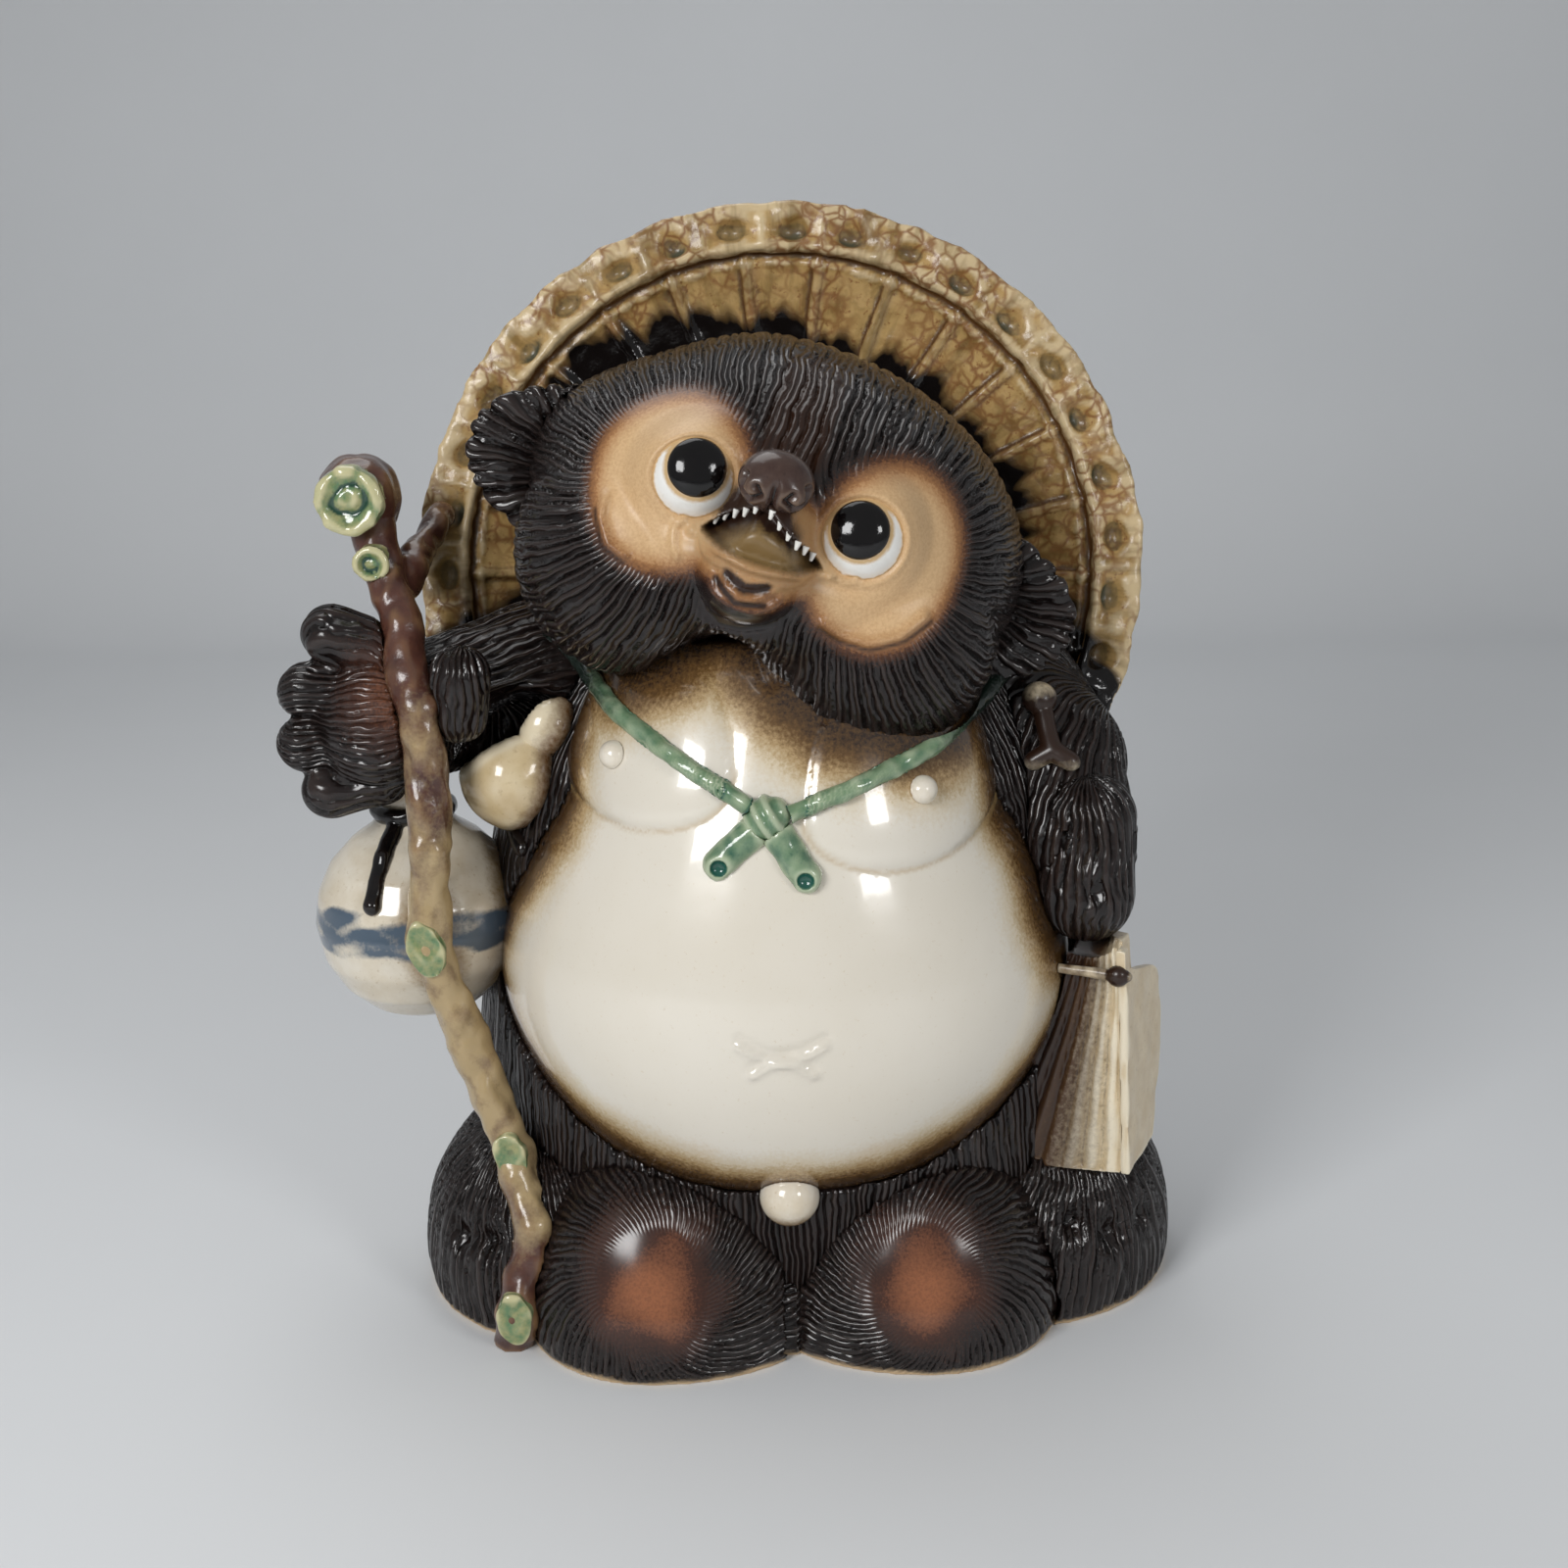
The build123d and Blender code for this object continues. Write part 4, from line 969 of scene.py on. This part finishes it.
for name, node, *_, voxel in LIMBS:
    limbs[name] = melt(name, cast(node), voxel, 16 if "thumb" in name else 4)
sleeve = limbs["right_sleeve"]
points = skin(sleeve)[0]
under_gourd = 1 - ease(0.75, 1.25, np.hypot((points[:, 0] + 75) / 19, (points[:, 2] - 164) / 21))
hollow_depth = under_gourd * np.clip(-15 - points[:, 1], 0, None)
points[:, 1] += hollow_depth
press(sleeve, points)
print(len(limbs), "limbs; hollow for the gourd", round(float(hollow_depth.max()), 1), "mm deep")

# %% [markdown]
# ## Fur of the limbs
# Each limb has its own pole for the comb: along the right arm, sideways through the right paw, upright
# for the left arm, the feet and the tail, and forwards out of each bag. The bags are drawn fuller
# inwards and upwards, except at the seam between them, and their middles were left smooth and sprayed
# orange. Brushing each strand by hand would show no better, since the comb sways by itself.

# %% Limb fur
SEAM = 1  # mm, the seam between the bags lies a little to the figure's left
for name, _, centre, axis, count, depth, _ in LIMBS:
    limb = limbs[name]
    is_bag, sign = "bag" in name, np.sign(centre[0])
    points, normals = skin(limb)
    if is_bag:
        inward = np.clip((centre[0] - points[:, 0]) * sign, 0, None)
        fuller = points - np.outer(0.3 * inward * sign * ease(-50, -66, points[:, 1]), (1, 0, 0))
        fuller[:, 2] += 0.42 * np.clip(points[:, 2] - 25, 0, None)
        press(limb, np.where(np.abs(fuller[:, :1] - SEAM) < 1.2, points, fuller))
        points = skin(limb)[0]
    else:
        uneven = 0.7 * ease(1.5, 8, points[:, 2]) * ripple(points, 31)
        press(limb, points + normals * uneven[:, None])
    turn, level, away = pole(points, centre, axis)
    turn = turn + away / 40 * is_bag * sign
    weight = (ease(14, 27, away) if is_bag else 1) * ease(0.5, 3, points[:, 2])
    comb(limb, turn, away if is_bag else level, count, depth, weight, np.median(away))
    if is_bag:
        paint(limb, warm=0.9 - 0.9 * ease(0, 30, away + 4 * ripple(points, 24)))
    bare_foot(limb)
    print(name, count, "strands")

# %% [markdown]
# ## Claws and palm
# Claws and finger joints are round dents, pressed in after the combing with the end of a stick. Cutting
# balls out with a boolean would leave sharp rims, so the points are pressed in softly. Where two dents
# meet, the deeper one wins, as it does in clay. The palm that holds the staff got a breath of orange
# from the spray gun.

# %% Claws and palm
DENTS = (
    # piece, places of its dents, their radius and depth in mm
    ("left_foot_mound", ((83.8, -56, 31), (96.5, -52, 26), (108, -42, 26)), 4.2, 4),
    ("right_foot_mound", ((-87.7, -60, 29), (-97, -52, 27)), 4.2, 4),
    ("left_hand", ((80, -52, 152), (84, -54, 143), (88, -54, 132)), 3, 3),
)
for name, places, radius, depth in DENTS:
    points, normals = skin(limbs[name])
    dents = [depth * band(np.linalg.norm(points - spot, axis=1), radius) for spot in places]
    press(limbs[name], points - normals * np.max(dents, axis=0)[:, None])
palm = limbs["right_hand"]
from_palm = np.linalg.norm(skin(palm)[0] - (-106, -46, 190), axis=1)
paint(palm, warm=0.6 * (1 - ease(4, 26, from_palm)))
for name, node, *_ in LIMBS:
    fit(limbs[name], fur_glaze, "dark_fur_glaze", node)

# %% [markdown]
# ## Belly
# The belly is the glossy showpiece. Two flat breasts end in a crisp crease below, and the navel is two
# curved strokes of a tool that nearly touch. They could be separate lumps, but on the real figure the
# glaze runs over them without a seam, so they are swellings of the one skin. The glaze gets thin and
# dark towards every furred neighbour, and the border mask is the distance to them.

# %% Belly
BREASTS = ((-39.5, 172.5), (34, 162.5))
NAVEL = (
    ((-11.5, 104), (-6, 101), (0, 99.8), (6, 101), (11.5, 104)),
    ((-8, 95.5), (-4, 98.4), (0, 99.4), (4, 98.4), (8.5, 95.5)),
)
belly = melt("belly", cast("belly_shell"), 1.2, 8)
chest_points, normals = skin(belly)
x, y, z = chest_points.T
outside = ease(0, 0.3, -normals[:, 1]) * (y < -20)
swell, crease = np.zeros(len(x)), np.zeros(len(x))
for breast_x, breast_z in BREASTS:
    round_it = np.hypot((x - breast_x) / 27, (z - breast_z) / np.where(z < breast_z, 15, 42))
    swell += 4.2 * np.clip(1 - round_it**2, 0, 1) ** 0.55
    crease += band(round_it - 1.03, 0.035) * ease(breast_z + 6, breast_z - 2, z)
for line in NAVEL:
    swell += 1.2 * stroke(x, z, line, 1.1) - 0.9 * stroke(x, z - 2, line, 1.2)
chest_moves = normals * (swell * outside)[:, None]
press(belly, chest_points + chest_moves)
points = skin(belly)[0]
from_fur = gap(points, body, head, *[limbs[name] for name in limbs if "tail" not in name])
fade = 27 + 5 * ease(178, 196, points[:, 2])
border = 1 - ease(0, 1, (from_fur - 1 + 1.2 * ripple(points, 24)) / fade)
# Painted shade: the crease under each breast is darkened.
paint(belly, border=border, dent=0.5 * np.clip(crease, 0, 1) * outside)
fit(belly, cream_glaze, "cream_belly_glaze", "belly_shell")

# %% [markdown]
# ## Studs and knob
# Small bosses of clay are pressed on the chest and on the seam between the bags. They could be balls, but
# their solids are already cut to seat on the chest, so they are melted from those. The chest swelled in
# the last step, and each point of a boss takes the move of the nearest point of the chest, so that the
# boss doesn't sink in.

# %% Studs and knob
chest = search(chest_points)


def carry(piece):
    """Move a piece out with the part of the chest that it was pressed on."""
    points = skin(piece)[0]
    press(piece, points + chest_moves[[chest.find(point)[1] for point in points]])


STUDS = (("right_chest_stud", "right_stud"), ("left_chest_stud", "left_stud"), ("seam_knob", "bag_knob"))
for name, node in STUDS:
    boss = melt(name, cast(node), 0.5, 3)
    carry(boss)
    break_glaze(boss, 12, 0.5)
    if name == "seam_knob":
        height = skin(boss)[0][:, 2]
        paint(boss, wash=0.75 * ease(0.1, -0.9, (height - height.mean()) / (height.max() - height.mean())))
    fit(boss, glazes["amber_gloss_glaze"], "amber_glaze", node)

# %% [markdown]
# ## Straw hat: places on the dish
# The hat is a thrown dish with ribs inside and a row of thumbed hollows round its brim. All of that
# turns about the hat's own leaning axis. Marks could be made one by one and copied with an array, but
# no two thumb marks are alike. So the clay is worked in polar places: how far round, how far out, and
# how far to the side of the nearest rib or hollow.

# %% Hat places
LEAN = radians(10)
HAT_MIDDLE = (0, 8, 214)
HAT_UP, HAT_FRONT = np.array((0, sin(LEAN), cos(LEAN))), np.array((0, -cos(LEAN), sin(LEAN)))
FIRST_MARK, HOLLOW_STEP, RIB_STEP = -16, 196 / 19, 14  # degrees round the hat
HOLLOW_RING = 98.8  # mm from the middle of the hat
hat = melt("hat", cast("straw_hat"), 1.05, 3)
points, normals = skin(hat)
flat_x, flat_y = points[:, 0] - HAT_MIDDLE[0], (points - HAT_MIDDLE) @ HAT_UP
radius, round_at = np.hypot(flat_x, flat_y), np.degrees(np.arctan2(flat_y, flat_x))
round_at = np.where(round_at < -90, round_at + 360, round_at)


def beside(count, step):
    """Return how many mm a point lies beside the nearest mark, for marks some degrees apart."""
    return (count - np.round(count)) * radians(step) * radius


cell = (round_at - FIRST_MARK) / HOLLOW_STEP
thumb = np.round(cell)
from_hollow, from_wall = beside(cell, HOLLOW_STEP), beside(cell - 0.5, HOLLOW_STEP)
from_rib = beside((round_at - FIRST_MARK) / RIB_STEP, RIB_STEP)
hollow_side = (from_hollow - np.sin(12.9 * thumb)) / (5.4 + np.sin(7.7 * thumb))
hollow_out = (radius - HOLLOW_RING - 0.8 * np.sin(4.1 * thumb)) / 2.5
hollow = np.hypot(hollow_side, hollow_out)
print("hat reaches", round(float(radius.max()), 1), "mm from its middle")

# %% [markdown]
# ## Straw hat: work on the dish
# Two raised lines with a groove between them mark where the brim meets the dish. The brim has its
# hollows, low walls between them and a wavy edge; the dish has a scored line beside every rib. A sculpt
# brush could draw them one after the other. Here they are sums of soft ridges on the polar places,
# pressed in once, so that a number changes all marks of a kind together.

# %% Hat work
GROOVE_RING = 92.2  # mm from the middle of the hat
facing = ease(0.1, 0.5, normals @ HAT_FRONT)
on_brim = ease(94, 96, radius) * facing
in_dish = (1 - ease(88, 90, radius)) * facing
brim_lines = band(radius - 94.6, 1.1) - 0.9 * band(radius - GROOVE_RING, 0.9) + 0.8 * band(radius - 90.2, 1.0)
brim_work = 0.8 * band(from_wall, 1.2) * ease(106, 102, radius) - 2.2 * band(hollow, 0.85)
brim_work += 0.5 * band(np.hypot(from_hollow / 2, radius - 103), 2.2)
dish_work = 0.3 * band(from_rib, 1.0) - 0.6 * band(from_rib - 2.2, 0.9)
hand_work = 0.5 * ripple(points, 13) * (1 - in_dish) + 0.25 * ripple(points, 8)
work = facing * brim_lines + on_brim * brim_work + in_dish * dish_work + hand_work
edge_wave = ease(99, 107, radius) * (0.35 * np.cos(2 * pi * cell) + 0.8 * ripple(points, 41) - 0.4)
outward = (np.outer(flat_x, (1, 0, 0)) + np.outer(flat_y, HAT_UP)) / np.maximum(radius, 1)[:, None]
press(hat, points + normals * work[:, None] + outward * edge_wave[:, None])
print("hat pressed, deepest", round(float(work.min()), 1), "mm")

# %% [markdown]
# ## Straw hat: where the glaze ran
# Black glaze was trailed round the head and ran outwards between the ribs, and some gathered by the
# sleeves. The mask is how near a point is to the head's outline or to a sleeve, held back at the ribs
# and on the back of the hat; a painted image could hold it too, but wouldn't follow a new shape. Brown
# lies in the scored lines, and the hollows hold olive-grey pools.

# %% Hat glaze
points = skin(hat)[0]
round_head = np.hypot((points - HEAD) @ ACROSS / 76, (points - HEAD) @ UP / 49)
by_sleeve = gap(points, limbs["right_sleeve"], limbs["left_sleeve"])
run_out = np.maximum(1 - ease(0.88, 1.22, round_head), 1 - ease(2, 16, by_sleeve))
run_out = run_out * (1 - ease(89, 93, radius) * (by_sleeve > 12)) - 0.25 * band(from_rib, 1.6)
stand = relief(hat, 14)
hollow_pool = band(hollow, 0.8) * ease(100.5, 97.5, radius) * on_brim
rib_lines = in_dish * (band(from_rib - 1.9, 0.7) + 0.5 * band(from_rib + 1.6, 0.5))
turn = np.radians(round_at)
paint(
    hat,
    thin=0.8 * ease(0.06, 0.4, stand) * (1 - 0.8 * in_dish),
    pool=np.maximum(hollow_pool, 0.5 * ease(0.2, 0.8, -stand) * facing),
    drip=facing * run_out + facing - 1,
    lie=np.stack((80 * np.cos(turn), 80 * np.sin(turn), 0.2 * radius), axis=1),
    line=np.clip(band(radius - GROOVE_RING, 0.8) + rib_lines, 0, 1) * facing,
)
fit(hat, straw_glaze, "ochre_straw_glaze", "straw_hat")

# %% [markdown]
# ## Tie
# A green cord holds the hat. It is a rolled coil of clay, pressed on, dark where it comes from behind
# the cheeks and pale where the copper glaze ran thin on the chest. The knot is scored across, and both
# loose ends hold blue-green pools. A curve with a bevel would be as round as wire, so the coils are
# melted from their solids and left uneven.

# %% Tie
TIES = (
    ("right_tie_cord", "chin_tie_right"), ("left_tie_cord", "chin_tie_left"), ("tie_knot_bead", "tie_knot"),
    ("right_tie_tip", "tie_end_right"), ("left_tie_tip", "tie_end_left"),
)
for name, node in TIES:
    cord = melt(name, cast(node), 0.5, 3)
    carry(cord)
    points, normals = skin(cord)
    x, _, z = points.T
    scored = np.sin(x * 1.5 + z * 0.9) if "knot" in name else ripple(points, 9)
    press(cord, points + normals * (0.35 * scored - 0.7 * ("cord" in name))[:, None])
    break_glaze(cord, 14, 0.4)
    paint(cord, wash=ease(34, 62, np.abs(x)) * ("cord" in name))
    if "tip" in name:
        paint(cord, pool=np.clip(0.5 + 0.3 * ripple(points, 8) - 2 * relief(cord, 14), 0, 1))
    fit(cord, glazes["copper_green_gloss_glaze"], "green_glaze", node)

# %% [markdown]
# ## Staff
# The staff is a crooked stick with a burl at its top. Its bark is lumpy, red-brown above the hand and
# amber below. Noise in the material alone would leave the outline smooth, so waves of three sizes swell
# the clay, and the burl is a wider swelling round its middle.

# %% Staff
BURL = (-119, -10, 241)
staff = melt("staff_stick", cast("staff"), 0.8, 6)
points, normals = skin(staff)
lumps = ripple(points, 27) + 0.6 * ripple(points + 11, 13.7) + 0.35 * ripple(points * (1, 1, 0.7), 7.3)
lumps += 1.4 * ease(20, 6, np.linalg.norm(points - BURL, axis=1))
press(staff, points + normals * (lumps * ease(0.5, 4, points[:, 2]))[:, None])
break_glaze(staff, 12, 0.9)
high = points[:, 2] + 26 * ripple(points, 33)
paint(staff, wash=ease(0, 60, high) * (1 - ease(125, 215, high)) * (0.85 + 0.35 * ripple(points, 10)))
fit(staff, glazes["red_brown_satin_staff_glaze"], "staff_glaze", "staff")

# %% [markdown]
# ## Sawn stubs
# Branches were sawn off the staff, and each sawn face shows green glaze. The two by the burl have a
# raised rim and a ring; the three on the shaft are tall ovals that lie flatter on the bark. The burl's
# own stub is wider than its solid. The solids are plain discs, so all that is pressed here.

# %% Sawn stubs
STUBS = ((-119, 241, 7.5), (-113, 224, 5), (-100, 119, 5.5), (-79.5, 55, 5), (-78.5, 12, 5.5))
stubs = melt("sawn_stubs", cast("staff_stubs"), 0.5, 3)
points, normals = skin(stubs)
rings = np.zeros(len(points))
for stub_x, stub_z, size in STUBS:
    away = np.hypot(points[:, 0] - stub_x, points[:, 2] - stub_z)
    own = away < size + 3
    if stub_z > 200:
        ring = band(away - (0.4 + 0.15 * ripple(points, 9)) * size, 0.9)
        rings += np.where(own, 0.7 * band(away - 0.8 * size, 1.0) - 0.8 * ring, 0)
    if size > 7:
        points[own] = (stub_x, 0, stub_z) + (points[own] - (stub_x, 0, stub_z)) * (1.28, 1, 1.28)
    if stub_z < 200:
        slant = 0.25 * (points[own, 2] - stub_z) * (stub_z > 30)
        points[own, 0] = stub_x + 0.95 * (points[own, 0] - stub_x) - slant
        points[own, 1] += 0.4 * (points[own, 1].max() - points[own, 1])
        points[own, 2] = np.maximum(stub_z + 1.5 * (points[own, 2] - stub_z), 1)
press(stubs, points + normals * (rings * ease(0.2, 0.6, -normals[:, 1]) + 0.6 * ripple(points, 8))[:, None])
break_glaze(stubs, 12, 0.5)
fit(stubs, glazes["yellow_green_gloss_stub_glaze"], "stub_glaze", "staff_stubs")

# %% [markdown]
# ## Flask
# The sake flask is thrown round on a wheel, with a short neck and a foot, and one broken brush band runs
# round it. A turned form is best made as it was thrown: half its outline is spun about the upright
# axis. Brown painted shade darkens it where it lies close to the paw, the staff and the trunk.

# %% Flask
FLASK = Vector((-109, -18, 116))
PROFILE = (
    (0.5, -28.6), (9, -29), (11.5, -28.6), (17, -26), (24, -19.6), (29, -11), (31, 0), (29.6, 9.2),
    (25.6, 17.5), (19, 24.5), (13, 28.6), (10.4, 31.5), (9.6, 35), (9.8, 39), (10.6, 41), (9.4, 42),
    (6.6, 42), (6, 40), (5.6, 32), (0.5, 31),
)
flask_clay = bmesh.new()
half_line = [flask_clay.verts.new((FLASK + Vector((out, 0, rise_by))) * MM) for out, rise_by in PROFILE]
half_line += [flask_clay.edges.new(pair) for pair in zip(half_line, half_line[1:])]
upright = {"cent": FLASK * MM, "axis": (0, 0, 1), "angle": 2 * pi}
bmesh.ops.spin(flask_clay, geom=half_line, steps=64, use_merge=True, **upright)
bmesh.ops.holes_fill(flask_clay, edges=flask_clay.edges)
bmesh.ops.recalc_face_normals(flask_clay, faces=flask_clay.faces)
flask = melt("flask", flask_clay, 0.9, 5)
points = skin(flask)[0]
level = points[:, 2] - FLASK.z
brush = ripple(points * (1, 1, 3), 26)
brush_band = ease(0.25, 0.7, band(level - 2 - 3 * brush, 7)) * (0.85 + 0.4 * ripple(points * (1, 1, 3), 15))
# Painted shade: brown where the flask lies close to the paw, the staff and the trunk.
shade_by_neighbours = 1 - ease(0.5, 9, gap(points, limbs["right_hand"], staff, body))
paint(flask, wash=np.clip(brush_band, 0, 1), pool=0.8 * shade_by_neighbours)
fit(flask, glazes["cream_white_flask_glaze"], "flask_glaze", "sake_flask")

# %% [markdown]
# ## Gourd and cords
# The gourd has two bulbs and a tip and lies in the hollow of the sleeve. It could be spun about its
# leaning axis, as the flask was, but its solid is already cut to seat on its neighbours, so it is melted
# from that and swelled. Black strokes of glazed clay stand for the flask's cord and the gourd's strap.

# %% Gourd and cords
HUNG = (
    ("gourd_bulbs", "gourd", 0.7, "beige_gloss_gourd_glaze", "gourd_glaze"),
    ("gourd_strap_bar", "gourd_strap", 0.5, "black_gloss_glaze", "black_glaze"),
    ("flask_neck_cord", "flask_cord", 0.5, "black_gloss_glaze", "black_glaze"),
)
for name, node, voxel, glaze, slot in HUNG:
    piece = melt(name, cast(node), voxel, 4)
    is_gourd = node == "gourd"
    points, normals = skin(piece)
    stand_out = 2.8 + 0.4 * ripple(points, 14) if is_gourd else 0.3 * ripple(points, 9)
    press(piece, points + normals * stand_out[:, None] - np.array((0, 3, 0)) * is_gourd)
    break_glaze(piece, 14, 0.6)
    if is_gourd:
        # Painted shade: brown where the gourd lies close to the sleeve, the trunk and the paw.
        from_neighbours = gap(points, limbs["right_sleeve"], body, limbs["right_hand"])
        paint(piece, pool=0.8 * (1 - ease(0.5, 6, from_neighbours)))
    fit(piece, glazes[glaze], slot, node)

# %% [markdown]
# ## Pages of the account book
# The hanging account book is a bundle of pages that fans out downwards. Real pages could be many thin
# sheets, but on the figure they are flutes scored down one block of clay. A point's share of the way
# across the bundle, from 0 at the outer edge to -1 at the inner one, places the flutes and the fan.

# %% Book pages
BOOK_TURN = radians(24)
BOOK_ACROSS = np.array((cos(BOOK_TURN), -sin(BOOK_TURN), 0))
BOOK_FRONT = np.array((-sin(BOOK_TURN), -cos(BOOK_TURN), 0))
EDGE_TOP, EDGE_FOOT = (94, -52, 124), (97, -54, 46)
TOP_WIDTH, FOOT_WIDTH = 17, 36
pages = melt("book_pages", cast("ledger_pages"), 0.8, 2)
points, normals = skin(pages)
drop = np.clip((EDGE_TOP[2] - points[:, 2]) / (EDGE_TOP[2] - EDGE_FOOT[2]), 0, 1)
from_edge = points - np.outer(1 - drop, EDGE_TOP) - np.outer(drop, EDGE_FOOT)
share = from_edge @ BOOK_ACROSS / (TOP_WIDTH + (FOOT_WIDTH - TOP_WIDTH) * drop)
ahead = ease(0.3, 0.8, normals @ BOOK_FRONT)
flutes = np.abs(np.sin(8 * pi * share + 0.8 * np.sin(points[:, 2] / 9) * (1 - drop)))
fan = (15 * drop**2 - 4 * (1 - drop)) * np.clip(-share, 0, 1)
thinner = 0.6 * np.clip(from_edge @ -BOOK_FRONT, 0, None) * ease(-0.8, -0.2, share)
points = points + np.outer(fan, (-1, -0.25, 0)) + np.outer(thinner, BOOK_FRONT)
points[:, 2] -= 0.45 * np.clip(points[:, 2] - 104, 0, None)
scored = 0.8 * ripple(points, 19) - 1.8 * (1 - flutes) ** 1.2
press(pages, points + np.outer(ahead * scored, BOOK_FRONT))
break_glaze(pages, 10, 0.4)
brown = 0.95 * ease(-0.3, -0.85, share) + 0.4 * (1 - flutes) ** 2 * ahead
paint(pages, wash=np.clip(brown, 0, 1), pool=0.9 * ease(0.1, -0.55, share))
fit(pages, glazes["cream_paper_glaze"], "paper_glaze", "ledger_pages")

# %% [markdown]
# ## Cover, string and bow of the book
# One cover closes the book at the side. It is a flap, narrow at the top and trimmed at the foot, and a
# string with a bead ties it. A looped cord on the sleeve holds the book. The flap could be cut with
# planes; scaling it across by its height gives the same outline and keeps its rounded rim.

# %% Book cover
BEAD = (94.6, -52.4, 107)
COVER_AND_TIES = (
    ("book_cover", "ledger_cover", 0.7),
    ("book_string", "ledger_string", 0.4),
    ("sleeve_bow", "ledger_cord", 0.5),
)
for name, node, voxel in COVER_AND_TIES:
    piece = melt(name, cast(node), voxel, 3)
    points, normals = skin(piece)
    if name == "book_cover":
        back = (points - EDGE_FOOT) @ -BOOK_FRONT
        wide = 0.12 + 0.88 * ease(116, 94, points[:, 2]) - 0.3 * ease(76, 46, points[:, 2])
        points = points + np.outer((back - back.min()) * (wide - 1), -BOOK_FRONT)
        points[:, 2] -= 0.4 * np.clip(points[:, 2] - 100, 0, None)
    press(piece, points + normals * (0.25 * ripple(points, 15))[:, None])
    break_glaze(piece, 14, 0.5)
    if name == "book_string":
        bead = 1 - ease(3, 4.2, np.linalg.norm(points - BEAD, axis=1))
        paint(piece, wash=bead, pool=0.55 + 0.2 * ripple(points, 6))
    if name == "sleeve_bow":
        loop = ease(180, 186, points[:, 2] + 2 * ripple(points, 9))
        tip = ease(168, 163, points[:, 2])
        paint(piece, wash=0.9 - 0.65 * loop - 0.35 * tip, pool=0.35 + 0.35 * ripple(points, 7))
    fit(piece, glazes["cream_paper_glaze"], "paper_glaze", node)
